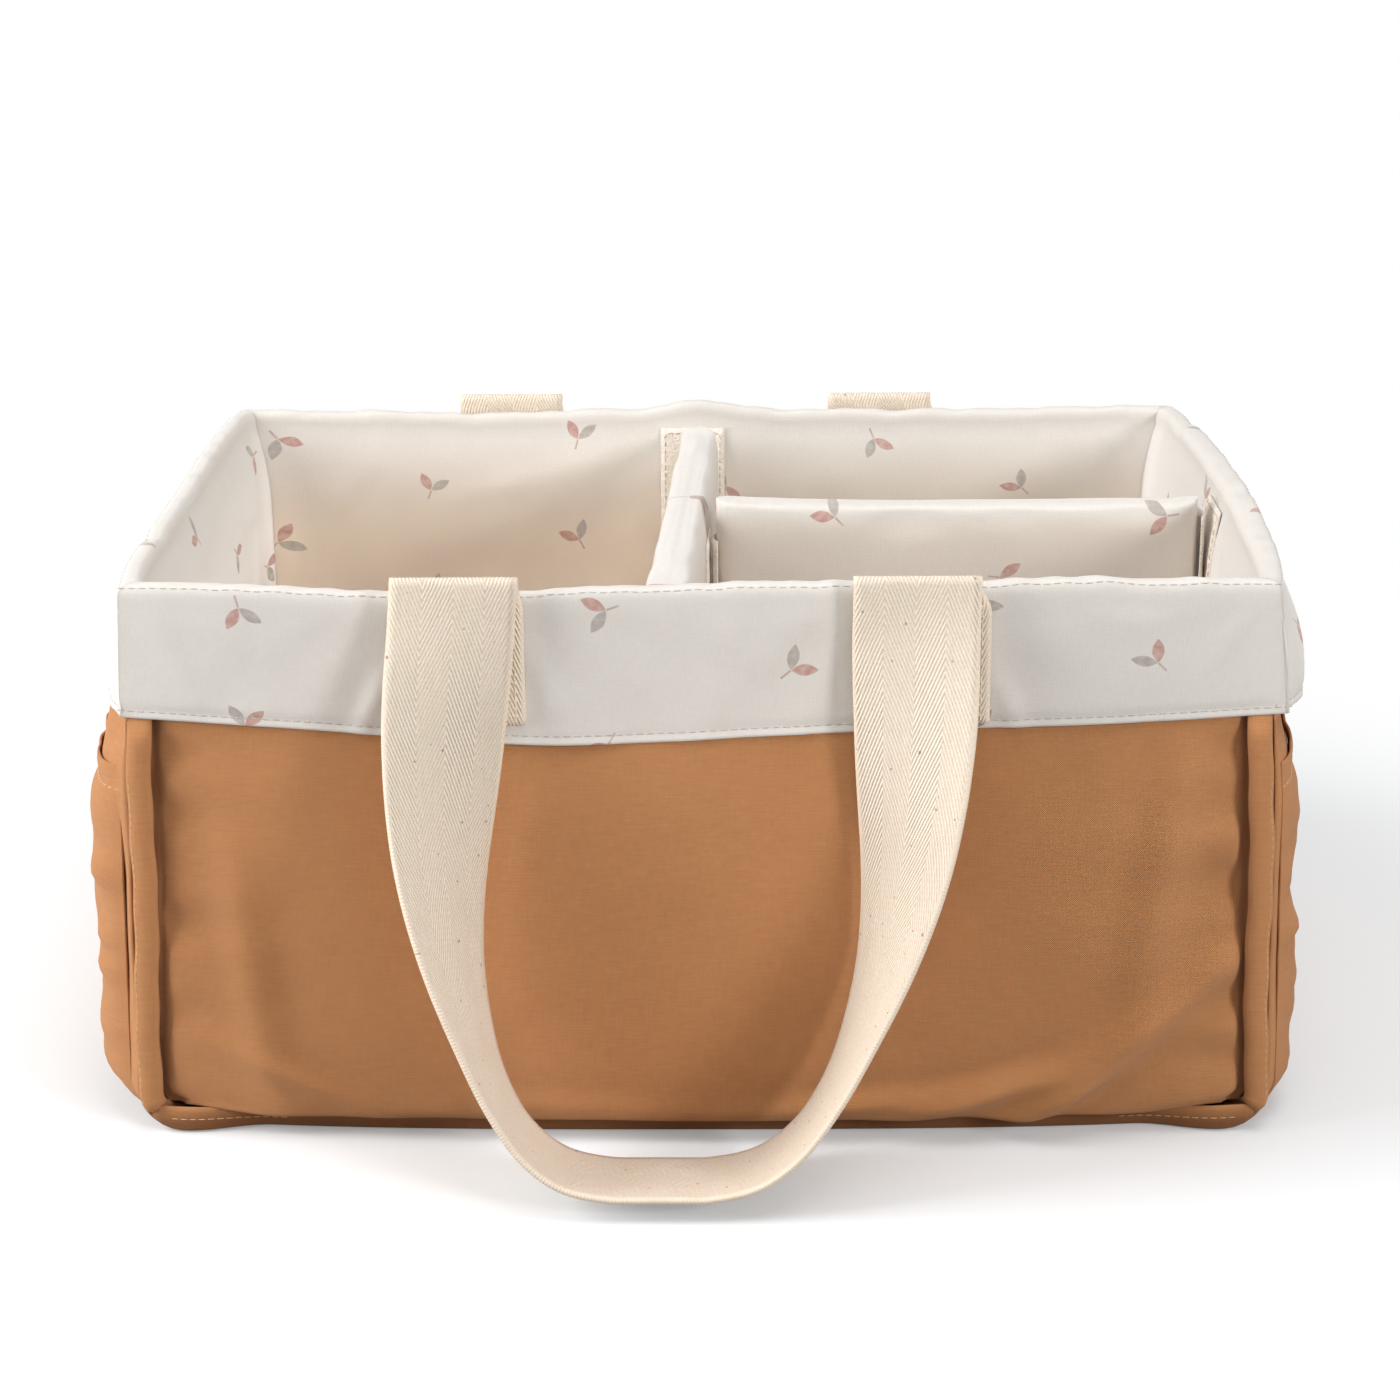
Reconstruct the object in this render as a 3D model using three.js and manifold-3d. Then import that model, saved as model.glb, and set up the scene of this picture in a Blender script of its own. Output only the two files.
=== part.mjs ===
// Diaper caddy: a padded fabric box with an open top, a turned-down cuff, an elastic
// pocket on each end, two webbing handles and two dividers that lift out.
// Millimetres, +Z up, +X along the length, the front faces -Y, the base stands at Z = 0.

import * as THREE from 'three';
import { mergeVertices } from 'three/addons/utils/BufferGeometryUtils.js';
import Module from 'manifold-3d';

const wasm = await Module();
wasm.setup();

// Body, measured on the canvas at the rim
const RIM_LENGTH = 364;
const RIM_DEPTH = 243;
const RIM_HEIGHT = 188;
const LENGTH_FLARE = 6;
const DEPTH_FLARE = 3.5;
const BASE_CORNER_RADIUS = 14;

// Layers of a wall, from outside to inside
const CLEARANCE = 0.3;
const CANVAS = 1;
const FOAM = 9;
const CLOTH = 0.8;

// Soft shape of the walls
const FRONT_CROWN = 3;
const FRONT_BULGE = 6;
const END_CROWN = 4;
const END_BULGE = 6;
const END_SHOULDER = 26;
const RIGHT_RIM_BULGE = 5;

// Cuff over the rim
const CUFF_DROP = 46;
const CUFF_INSIDE = 16;
const END_CUFF_FLARE = 7;

// Folded piping at the upright corners
const PIPING_WIDTH = 8;
const PIPING_THICKNESS = 4.4;
const PIPING_EDGE = 0.6;

// Floor
const BOTTOM_LIP = 5;
const BOARD = 2;
const FLOOR_FOAM = 4;

// Elastic pockets on the ends
const POCKET_BELOW_HEM = 15;
const POCKET_FOOT = 18;
const POCKET_SIDE = 7;
const POCKET_BULGE = 9;
const POCKET_MOUTH = 8;
const ELASTIC_WIDTH = 7;
const ELASTIC_END_MARGIN = 20.6;

// Webbing handles
const WEBBING_WIDTH = 40;
const WEBBING_THICKNESS = 2;
const HANDLE_SPACING = 145;
const HANDLE_OFFSET = -4;
const FOLD_RISE = 3;
const FOLD_GAP = 0.7;
const TAB_HEM_MARGIN = 1;
const LOOP_STANDOFF = 18;
const LOOP_SWING = -9;
const LOOP_CURL = 9;

// Dividers and their hook-and-loop strips
const DIVIDER_THICKNESS = 15;
const DIVIDER_BELOW_RIM = 5;
const CROSS_DIVIDER_X = -5;
const SIDE_DIVIDER_Y = 0;
const STRIP_THICKNESS = 1.2;
const WALL_STRIP_WIDTH = 25;
const HOOK_STRIP_WIDTH = 12;
const STRIP_MARGIN = 14;

// Insets of each layer's outer face, counted from the outer face of the canvas
const FOAM_OUT = CANVAS + CLEARANCE;
const FOAM_IN = FOAM_OUT + FOAM;
const LINING_OUT = FOAM_IN + CLEARANCE;
const LINING_IN = LINING_OUT + CLOTH;
const CUFF_UNDER = -CLEARANCE;
const CUFF_FACE = CUFF_UNDER - CLOTH;
const TAB_UNDER = CUFF_FACE - CLEARANCE;
const TAB_FACE = TAB_UNDER - WEBBING_THICKNESS;

// Heights that several pieces share
const HEM = RIM_HEIGHT - CUFF_DROP;
const RIM_ROUND = (LINING_IN - CUFF_FACE) / 2;
const WALL_TOP = RIM_HEIGHT - RIM_ROUND;
const FOOT = CANVAS + CLEARANCE;
const BOARD_TOP = FOOT + BOARD;
const FLOOR_FOAM_FOOT = BOARD_TOP + CLEARANCE;
const FLOOR_FOAM_TOP = FLOOR_FOAM_FOOT + FLOOR_FOAM;
const FLOOR_LINING_FOOT = FLOOR_FOAM_TOP + CLEARANCE;
const FLOOR_TOP = FLOOR_LINING_FOOT + CLOTH;
const POCKET_HEIGHT = HEM - POCKET_BELOW_HEM - POCKET_FOOT;
const LINING_TOP = RIM_HEIGHT - CUFF_INSIDE - CLEARANCE;
const FOLD_HEIGHT = RIM_HEIGHT + FOLD_RISE;
const DIVIDER_FOOT = FLOOR_TOP + CLEARANCE;
const DIVIDER_TOP = RIM_HEIGHT - DIVIDER_BELOW_RIM;

// Places along a wall where its layers share their creases, between the corners
const CREASE_FREE_CORNER = 3;
const CORNER_MARGIN = LINING_IN + CREASE_FREE_CORNER;
const PIPING_INSET = PIPING_EDGE + PIPING_WIDTH + CLEARANCE;
const frontHalf = RIM_LENGTH / 2 - CORNER_MARGIN - PIPING_INSET;
const endHalf = RIM_DEPTH / 2 - CORNER_MARGIN;
const frontPlaces = [-1, -0.75, -0.5, -0.25, 0, 0.25, 0.5, 0.75, 1].map((part) => part * frontHalf);
const endPlaces = [-1, -0.85, -0.5, 0, 0.5, 0.85, 1].map((part) => part * endHalf);

const SIDES = {
  front: { endWall: false, sign: -1, places: frontPlaces },
  back: { endWall: false, sign: 1, places: frontPlaces },
  left: { endWall: true, sign: -1, places: endPlaces },
  right: { endWall: true, sign: 1, places: endPlaces },
};

const materials = {
  canvas: new THREE.MeshStandardMaterial({ color: 0xb57a4b, roughness: 0.9, metalness: 0 }),
  print: new THREE.MeshStandardMaterial({ color: 0xece7e2, roughness: 0.85, metalness: 0 }),
  webbing: new THREE.MeshStandardMaterial({ color: 0xf8e8d2, roughness: 0.95, metalness: 0 }),
  foam: new THREE.MeshStandardMaterial({ color: 0xf2efe6, roughness: 1, metalness: 0 }),
  board: new THREE.MeshStandardMaterial({ color: 0x8a7a66, roughness: 0.8, metalness: 0 }),
  elastic: new THREE.MeshStandardMaterial({ color: 0xf4f1ea, roughness: 0.8, metalness: 0 }),
  strip: new THREE.MeshStandardMaterial({ color: 0xece4cd, roughness: 1, metalness: 0 }),
};

const caddy = new THREE.Group();

function place(name, geometry, material) {
  const mesh = new THREE.Mesh(geometry, material);
  mesh.name = name;
  caddy.add(mesh);
}

// Evenly spaced values from start to end, both included
function spread(start, end, steps) {
  return Array.from({ length: steps + 1 }, (_, i) => THREE.MathUtils.lerp(start, end, i / steps));
}

// Geometry of a closed surface, turned so that its faces point out
function closedSolid(points, index) {
  let volume = 0;
  for (let k = 0; k < index.length; k += 3) {
    const [p, q, r] = [points[index[k]], points[index[k + 1]], points[index[k + 2]]];
    volume += p.dot(q.clone().cross(r));
  }
  if (volume < 0) {
    index.reverse();
  }
  const geometry = new THREE.BufferGeometry().setFromPoints(points);
  geometry.setIndex(index);
  return geometry;
}

// Closed solid between two point grids of the same size
function gridSolid(face, back) {
  const rows = face.length;
  const columns = face[0].length;
  const points = [...face.flat(), ...back.flat()];
  const f = (i, j) => i * columns + j;
  const b = (i, j) => (rows + i) * columns + j;
  const index = [];
  const quad = (p, q, r, s) => index.push(p, q, r, p, r, s);
  for (let i = 0; i < rows - 1; i += 1) {
    for (let j = 0; j < columns - 1; j += 1) {
      quad(f(i, j), f(i, j + 1), f(i + 1, j + 1), f(i + 1, j));
      quad(b(i, j), b(i + 1, j), b(i + 1, j + 1), b(i, j + 1));
    }
    const last = columns - 1;
    quad(f(i + 1, 0), b(i + 1, 0), b(i, 0), f(i, 0));
    quad(f(i + 1, last), f(i, last), b(i, last), b(i + 1, last));
  }
  for (let j = 0; j < columns - 1; j += 1) {
    const last = rows - 1;
    quad(f(0, j + 1), f(0, j), b(0, j), b(0, j + 1));
    quad(f(last, j), f(last, j + 1), b(last, j + 1), b(last, j));
  }
  return closedSolid(points, index);
}

// Closed solid through rings of points, with a flat fan over each end
function ringSolid(rings) {
  const size = rings[0].length;
  const points = rings.flat();
  const index = [];
  for (let i = 0; i < rings.length - 1; i += 1) {
    for (let j = 0; j < size; j += 1) {
      const next = (j + 1) % size;
      const [p, q] = [i * size + j, i * size + next];
      index.push(p, q, q + size, p, q + size, p + size);
    }
  }
  const tail = (rings.length - 1) * size;
  for (let j = 1; j < size - 1; j += 1) {
    index.push(0, j + 1, j, tail, tail + j, tail + j + 1);
  }
  return closedSolid(points, index);
}

function box(xMin, xMax, yMin, yMax, zMin, zMax) {
  const geometry = new THREE.BoxGeometry(xMax - xMin, yMax - yMin, zMax - zMin);
  return geometry.translate((xMin + xMax) / 2, (yMin + yMax) / 2, (zMin + zMax) / 2);
}

function toManifold(geometry) {
  const bare = geometry.clone();
  bare.deleteAttribute('normal');
  bare.deleteAttribute('uv');
  const merged = mergeVertices(bare);
  return new wasm.Manifold(new wasm.Mesh({
    numProp: 3,
    vertProperties: Float32Array.from(merged.attributes.position.array),
    triVerts: Uint32Array.from(merged.index.array),
  }));
}

function subtract(geometry, tool) {
  const mesh = toManifold(geometry).subtract(toManifold(tool)).getMesh();
  const result = new THREE.BufferGeometry();
  result.setAttribute('position', new THREE.BufferAttribute(mesh.vertProperties, 3));
  result.setIndex(new THREE.BufferAttribute(mesh.triVerts, 1));
  return result;
}

// The body stands out a little at its base, while its inner faces stay upright
function lean(z, upright) {
  return (1 - upright) * (1 - z / RIM_HEIGHT);
}

function halfLength(z, inset, upright) {
  const radius = BASE_CORNER_RADIUS;
  if (upright === 0 && z < radius) {
    const centre = RIM_LENGTH / 2 + LENGTH_FLARE * lean(radius, 0) - radius;
    return centre + Math.sqrt(Math.max((radius - inset) ** 2 - (radius - z) ** 2, 0));
  }
  return RIM_LENGTH / 2 + LENGTH_FLARE * lean(z, upright) - inset;
}

function halfDepth(z, inset, upright) {
  return RIM_DEPTH / 2 + DEPTH_FLARE * lean(z, upright) - inset;
}

// Outward swell of the long walls, and of the ends
function frontSwell(x, z, upright) {
  const u = Math.min(Math.abs(x) / (RIM_LENGTH / 2 + LENGTH_FLARE), 1);
  const height = THREE.MathUtils.clamp(z / HEM, 0, 1);
  const bulge = FRONT_BULGE * (1 - u ** 4) * Math.sin(Math.PI * height);
  return FRONT_CROWN * (1 - u ** 2) + (1 - upright) * bulge;
}

function endSwell(sign, y, z, upright) {
  const u = Math.min(Math.abs(y) / (RIM_DEPTH / 2 + DEPTH_FLARE), 1);
  const foot = THREE.MathUtils.clamp(z / BASE_CORNER_RADIUS, 0, 1);
  const shoulder = THREE.MathUtils.clamp((HEM - z) / END_SHOULDER, 0, 1);
  const rise = THREE.MathUtils.clamp((z - HEM) / CUFF_DROP, 0, 1);
  const crown = END_CROWN * Math.max(upright, foot) * (1 - u ** 4);
  const bulge = (1 - upright) * END_BULGE * Math.min(foot, shoulder) * (1 - u ** 8);
  const rimBulge = sign > 0 ? RIGHT_RIM_BULGE * Math.max(upright, rise) * (1 - u ** 2) : 0;
  return crown + bulge + rimBulge;
}

// A point on a layer of a wall; the inset is counted from the outer face of the canvas
function wallPoint(side, along, inset, z, upright = 0) {
  if (side.endWall) {
    const x = halfLength(z, inset, upright) + endSwell(side.sign, along, z, upright);
    return new THREE.Vector3(side.sign * x, along, z);
  }
  const y = halfDepth(z, inset, upright) + frontSwell(along, z, upright);
  return new THREE.Vector3(along, side.sign * y, z);
}

// Places from one mitred corner of a layer to the other
function mitredPlaces(side, inset, z, upright = 0) {
  const half = side.endWall ? halfDepth(z, inset, upright) : halfLength(z, inset, upright);
  const limit = half - CLEARANCE;
  return [-limit, ...side.places, limit];
}

function wallRow(side, inset, z, upright = 0) {
  return mitredPlaces(side, inset, z, upright).map((along) => wallPoint(side, along, inset, z, upright));
}

const sideNames = Object.keys(SIDES);
const CORNER_STEPS = 5;
const MIDDLE_STEPS = 4;
const cornerTurns = spread(Math.PI / 2, 0, CORNER_STEPS);
const cornerHeight = (inset, turn) => BASE_CORNER_RADIUS - (BASE_CORNER_RADIUS - inset) * Math.sin(turn);
const cornerHeights = cornerTurns.map((turn) => cornerHeight(FOAM_OUT, turn));
const middleHeights = spread(BASE_CORNER_RADIUS, HEM - END_SHOULDER, MIDDLE_STEPS).slice(1);
const baseCornerCentre = halfLength(BASE_CORNER_RADIUS, 0, 0) - BASE_CORNER_RADIUS;

// Canvas front and back: held between the pipings, with corners that follow them
for (const name of ['front', 'back']) {
  const side = SIDES[name];
  const curveFoot = PIPING_INSET;
  const cornerRows = [BOTTOM_LIP + CLEARANCE, curveFoot, BASE_CORNER_RADIUS];
  const heights = [...cornerRows, ...middleHeights, HEM, WALL_TOP - CLEARANCE];
  const surface = (inset) => heights.map((z) => (
    mitredPlaces(side, PIPING_INSET, z).map((x) => wallPoint(side, x, inset, z))
  ));
  place(`${name}_panel`, gridSolid(surface(0), surface(CANVAS)), materials.canvas);
}

// Canvas ends: they curl under the rounded base corners
for (const name of ['left', 'right']) {
  const side = SIDES[name];
  const surface = (inset) => [
    ...cornerTurns.map((turn) => ({
      x: baseCornerCentre + (BASE_CORNER_RADIUS - inset) * Math.cos(turn),
      z: cornerHeight(inset, turn),
    })),
    ...[...middleHeights, HEM, WALL_TOP - CLEARANCE].map((z) => ({ x: halfLength(z, inset, 0), z })),
  ].map(({ x, z }) => mitredPlaces(side, PIPING_THICKNESS / 2, z).map((y) => (
    new THREE.Vector3(side.sign * (x + endSwell(side.sign, y, z, 0)), y, z)
  )));
  place(`${name}_end_panel`, gridSolid(surface(0), surface(CANVAS)), materials.canvas);
}

// Canvas bottom: a flat sheet with a low lip turned up at the front and the back
const bottomReach = baseCornerCentre - CLEARANCE;
const bottomXs = [-bottomReach, ...frontPlaces, bottomReach];
const bottomSurface = (inset) => [
  { wall: SIDES.front, z: BOTTOM_LIP },
  { wall: SIDES.front, z: inset },
  { wall: SIDES.back, z: inset },
  { wall: SIDES.back, z: BOTTOM_LIP },
].map(({ wall, z }) => bottomXs.map((x) => wallPoint(wall, x, inset, z)));
place('bottom_panel', gridSolid(bottomSurface(0), bottomSurface(CANVAS)), materials.canvas);

// Foam of the walls, rounded over at the rim; an end's foam starts where the round base leaves room
const FOAM_ROUND_DEGREES = [35, 70];
const THINNEST_FOAM = 2;
for (const name of sideNames) {
  const side = SIDES[name];
  const reach = (inset, z, upright) => {
    const middlePoint = wallPoint(side, 0, inset, z, upright);
    return side.sign * (side.endWall ? middlePoint.x : middlePoint.y);
  };
  const heights = [...cornerHeights, ...middleHeights, HEM, WALL_TOP]
    .filter((z) => reach(FOAM_OUT, z, 0) - reach(FOAM_IN, z, 1) >= THINNEST_FOAM);
  const middle = (FOAM_OUT + FOAM_IN) / 2;
  const roundHeight = RIM_ROUND - CLOTH - 2 * CLEARANCE;
  const turns = FOAM_ROUND_DEGREES.map((degrees) => THREE.MathUtils.degToRad(degrees));
  const section = (sign) => [
    ...heights.map((z) => ({ inset: middle + sign * FOAM / 2, z })),
    ...turns.map((turn) => ({
      inset: middle + sign * FOAM / 2 * Math.cos(turn),
      z: WALL_TOP + roundHeight * Math.sin(turn),
    })),
  ];
  const surface = (sign, upright) => section(sign).map(({ inset, z }) => wallRow(side, inset, z, upright));
  place(`${name}_foam`, gridSolid(surface(-1, 0), surface(1, 1)), materials.foam);
}

// Lining of the walls
for (const name of sideNames) {
  const heights = [FLOOR_LINING_FOOT, HEM, LINING_TOP];
  const surface = (inset) => heights.map((z) => wallRow(SIDES[name], inset, z, 1));
  place(`${name}_lining`, gridSolid(surface(LINING_OUT), surface(LINING_IN)), materials.print);
}

// Floor: stiff board, foam and lining, laid between the walls
function placeFloor(name, inset, low, high, material) {
  const x = halfLength(low, inset, 1);
  const y = halfDepth(low, inset, 1);
  place(name, box(-x, x, -y, y, low, high), material);
}
placeFloor('bottom_board', LINING_OUT, FOOT, BOARD_TOP, materials.board);
placeFloor('floor_foam', LINING_OUT, FLOOR_FOAM_FOOT, FLOOR_FOAM_TOP, materials.foam);
placeFloor('floor_lining', LINING_IN + CLEARANCE, FLOOR_LINING_FOOT, FLOOR_TOP, materials.print);

// Cuff: hangs outside, rolls over the rim and ends a little way down the inside
const RIM_STEPS = 6;
for (const name of sideNames) {
  const side = SIDES[name];
  const middle = (CUFF_FACE + LINING_IN) / 2;
  const flare = side.endWall ? END_CUFF_FLARE : 0;
  const section = (outside, inside, radius) => [
    { inset: outside, z: HEM, upright: 0, hem: flare },
    { inset: outside, z: WALL_TOP, upright: 0, hem: 0 },
    ...spread(0, Math.PI, RIM_STEPS).slice(1, -1).map((turn) => ({
      inset: middle - radius * Math.cos(turn),
      z: WALL_TOP + radius * Math.sin(turn),
      upright: turn / Math.PI,
      hem: 0,
    })),
    { inset: inside, z: WALL_TOP, upright: 1, hem: 0 },
    { inset: inside, z: RIM_HEIGHT - CUFF_INSIDE, upright: 1, hem: 0 },
  ];
  const surface = (rows) => rows.map(({ inset, z, upright, hem }) => {
    const row = wallRow(side, inset, z, upright);
    const corner = row.at(-1).y;
    row.forEach((point) => {
      point.x += side.sign * hem * (1 - (point.y / corner) ** 6);
    });
    return row;
  });
  const face = surface(section(CUFF_FACE, LINING_IN, RIM_ROUND));
  const under = surface(section(CUFF_UNDER, LINING_OUT, RIM_ROUND - CLOTH));
  place(`${name}_cuff`, gridSolid(face, under), materials.print);
}

// Piping: a flat oval band up each corner, curling in round the base corner
const PIPING_STEPS = 5;
const pipingSection = new THREE.Shape();
pipingSection.absellipse(0, 0, PIPING_WIDTH / 2, PIPING_THICKNESS / 2, 0, 2 * Math.PI);
for (const wall of ['front', 'back']) {
  for (const end of ['left', 'right']) {
    const middle = PIPING_EDGE + PIPING_WIDTH / 2;
    const radius = BASE_CORNER_RADIUS - middle;
    const outward = PIPING_THICKNESS / 2 - CANVAS;
    const heights = spread(HEM - CLEARANCE, BASE_CORNER_RADIUS, PIPING_STEPS);
    const route = [
      ...heights.map((z) => ({ x: halfLength(z, middle, 0), z, across: 0 })),
      ...spread(0, Math.PI / 2, PIPING_STEPS).slice(1).map((turn) => ({
        x: baseCornerCentre + radius * Math.cos(turn),
        z: BASE_CORNER_RADIUS - radius * Math.sin(turn),
        across: turn,
      })),
    ];
    const outline = pipingSection.getPoints(PIPING_STEPS).slice(0, -1);
    const rings = route.map(({ x, z, across }) => outline.map((p) => new THREE.Vector3(
      SIDES[end].sign * (x + p.x * Math.cos(across)),
      SIDES[wall].sign * (halfDepth(z, 0, 0) + frontSwell(x - PIPING_WIDTH / 2, z, 0) + outward + p.y),
      z - p.x * Math.sin(across),
    )));
    place(`${wall}_${end}_piping`, ringSolid(rings), materials.canvas);
  }
}

// Pockets: puffed out from the end panel, open at the top, with an elastic behind the hem
const POCKET_FULL_AT = 0.5;
const POCKET_LEVELS = [0, 0.06, 0.16, 0.35, 0.6];
for (const name of ['left', 'right']) {
  const side = SIDES[name];
  const reach = RIM_DEPTH / 2 - POCKET_SIDE;
  const hemLevel = 1 - ELASTIC_WIDTH / POCKET_HEIGHT;
  const elasticShare = (reach - ELASTIC_END_MARGIN) / reach;
  const elasticColumns = [-1, -0.6, 0, 0.6, 1].map((u) => u * elasticShare);
  const edge = (1 + elasticShare) / 2;
  const columns = [-1, -edge, ...elasticColumns, edge, 1];
  const levels = [...POCKET_LEVELS, hemLevel, 1];
  const fill = (v) => {
    const rise = Math.sin(Math.PI / 2 * Math.min(v / POCKET_FULL_AT, 1)) ** 0.7;
    const ease = Math.max((v - POCKET_FULL_AT) / (1 - POCKET_FULL_AT), 0) ** 2;
    return rise * THREE.MathUtils.lerp(POCKET_BULGE, POCKET_MOUTH, ease);
  };
  const puff = (u, v) => fill(v) * (1 - u ** 10);
  const point = (u, z, out) => wallPoint(side, u * reach, -out, z);
  const surface = (extra) => levels.map((v) => columns.map((u) => (
    point(u, POCKET_FOOT + v * POCKET_HEIGHT, CLEARANCE + puff(u, v) + extra)
  )));
  place(`${name}_pocket`, gridSolid(surface(CLOTH), surface(0)), materials.canvas);

  const band = (extra) => [hemLevel, 1].map((v) => elasticColumns.map((u) => (
    point(u, POCKET_FOOT + v * POCKET_HEIGHT, puff(u, v) - extra)
  )));
  place(`${name}_pocket_elastic`, gridSolid(band(0), band(CLOTH)), materials.elastic);
}

// Handle ends, sewn flat on the cuff from its hem up to the fold above the rim
const handleXs = { left: HANDLE_OFFSET - HANDLE_SPACING / 2, right: HANDLE_OFFSET + HANDLE_SPACING / 2 };
for (const wall of ['front', 'back']) {
  for (const end of ['left', 'right']) {
    const across = spread(-WEBBING_WIDTH / 2, WEBBING_WIDTH / 2, 4).map((x) => handleXs[end] + x);
    const heights = [HEM + TAB_HEM_MARGIN, WALL_TOP, FOLD_HEIGHT - FOLD_GAP];
    const surface = (inset) => heights.map((z) => across.map((x) => wallPoint(SIDES[wall], x, inset, z)));
    place(`${wall}_handle_${end}_tab`, gridSolid(surface(TAB_FACE), surface(TAB_UNDER)), materials.webbing);
  }
}

// Handle loops: they hang from the fold, turn edge-on on the way down and lie on the ground
const LOOP_STEPS = 48;
const TURN_EASE = 1.4;
const loopStations = [
  { height: 1, spread: 1 },
  { height: 0.92, spread: 1.005 },
  { height: 0.745, spread: 1.02 },
  { height: 0.54, spread: 1.005 },
  { height: 0.39, spread: 0.945 },
  { height: 0.25, spread: 0.84 },
  { height: 0.15, spread: 0.735 },
  { height: 0.07, spread: 0.6 },
  { height: 0.02, spread: 0.43 },
  { height: 0, spread: 0.2 },
];
for (const wall of ['front', 'back']) {
  const side = SIDES[wall];
  const curl = THREE.MathUtils.degToRad(LOOP_CURL);
  const ground = (WEBBING_THICKNESS + WEBBING_WIDTH * Math.sin(curl) + CLEARANCE) / 2;
  const turnAt = (z) => {
    const fallen = THREE.MathUtils.clamp((FOLD_HEIGHT - z) / (FOLD_HEIGHT - ground), 0, 1);
    return Math.PI / 2 * Math.sin(Math.PI / 2 * fallen) ** TURN_EASE;
  };
  const station = (sign, { height, spread: width }) => {
    const z = THREE.MathUtils.lerp(ground, FOLD_HEIGHT, height);
    const x = HANDLE_OFFSET + sign * HANDLE_SPACING / 2 * width + LOOP_SWING * (1 - height);
    const edgeOn = WEBBING_WIDTH / 2 * Math.sin(turnAt(z));
    const out = CLEARANCE + WEBBING_THICKNESS / 2 + edgeOn + LOOP_STANDOFF * (1 - height) ** 2;
    const tabX = HANDLE_OFFSET + sign * HANDLE_SPACING / 2;
    const face = wallPoint(side, tabX, TAB_FACE, Math.min(z, RIM_HEIGHT));
    return new THREE.Vector3(x, face.y + side.sign * out, z);
  };
  const lowest = station(1, { height: 0, spread: 0 });
  const leftLeg = loopStations.map((entry) => station(-1, entry));
  const rightLeg = loopStations.map((entry) => station(1, entry)).reverse();
  const route = new THREE.CatmullRomCurve3([...leftLeg, lowest, ...rightLeg]);
  const front = [];
  const rear = [];
  for (let i = 0; i <= LOOP_STEPS; i += 1) {
    const centre = route.getPointAt(i / LOOP_STEPS);
    centre.z = THREE.MathUtils.clamp(centre.z, ground, FOLD_HEIGHT);
    const tangent = route.getTangentAt(i / LOOP_STEPS);
    if (i === 0 || i === LOOP_STEPS) {
      tangent.set(0, 0, i === 0 ? -1 : 1);
    }
    const turn = i < LOOP_STEPS / 2 ? turnAt(centre.z) : Math.PI - turnAt(centre.z);
    const lift = Math.sin(curl) * Math.sin(turn) ** 4;
    const across = new THREE.Vector3(-Math.cos(turn), side.sign * Math.sin(turn), lift);
    across.addScaledVector(tangent, -across.dot(tangent)).normalize();
    const normal = new THREE.Vector3().crossVectors(tangent, across).normalize();
    const corner = (w, n) => centre.clone()
      .addScaledVector(across, w * WEBBING_WIDTH / 2)
      .addScaledVector(normal, n * WEBBING_THICKNESS / 2);
    front.push([corner(-1, 1), corner(1, 1)]);
    rear.push([corner(-1, -1), corner(1, -1)]);
  }
  place(`${wall}_handle_loop`, gridSolid(front, rear), materials.webbing);
}

// Hook-and-loop strips sewn on the walls
const stripFoot = DIVIDER_FOOT + STRIP_MARGIN;
const stripTop = DIVIDER_TOP - STRIP_MARGIN;
const wallStrips = { front: CROSS_DIVIDER_X, back: CROSS_DIVIDER_X, right: SIDE_DIVIDER_Y };
const stripOut = LINING_IN + CLEARANCE;
const stripIn = stripOut + STRIP_THICKNESS;
for (const [name, middle] of Object.entries(wallStrips)) {
  const columns = spread(middle - WALL_STRIP_WIDTH / 2, middle + WALL_STRIP_WIDTH / 2, 2);
  const heights = [stripFoot, HEM, stripTop];
  const surface = (inset) => heights.map((z) => columns.map((p) => wallPoint(SIDES[name], p, inset, z, 1)));
  place(`${name}_wall_strip`, gridSolid(surface(stripOut), surface(stripIn)), materials.strip);
}

// A divider standing along Y, centred on x = 0: a cloth sleeve over a foam core
function dividerSlab(thickness, length, foot, top) {
  const radius = thickness / 2;
  const outline = new THREE.Shape();
  outline.moveTo(-radius, foot);
  outline.lineTo(radius, foot);
  outline.absarc(0, top - radius, radius, 0, Math.PI, false);
  const slab = new THREE.ExtrudeGeometry(outline, { depth: length, bevelEnabled: false, curveSegments: 8 });
  return slab.rotateX(Math.PI / 2).translate(0, length / 2, 0);
}

function divider(length) {
  const hollow = dividerSlab(
    DIVIDER_THICKNESS - 2 * CLOTH, length - 2 * CLOTH, DIVIDER_FOOT - CLOTH, DIVIDER_TOP - CLOTH,
  );
  const around = CLOTH + CLEARANCE;
  const core = DIVIDER_THICKNESS - 2 * around;
  return {
    cover: subtract(dividerSlab(DIVIDER_THICKNESS, length, DIVIDER_FOOT, DIVIDER_TOP), hollow),
    foam: dividerSlab(core, length - 2 * around, DIVIDER_FOOT, DIVIDER_TOP - around),
  };
}

function hookStrip(xMin, xMax, yMin, yMax) {
  return box(xMin, xMax, yMin, yMax, stripFoot, stripTop);
}

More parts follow.
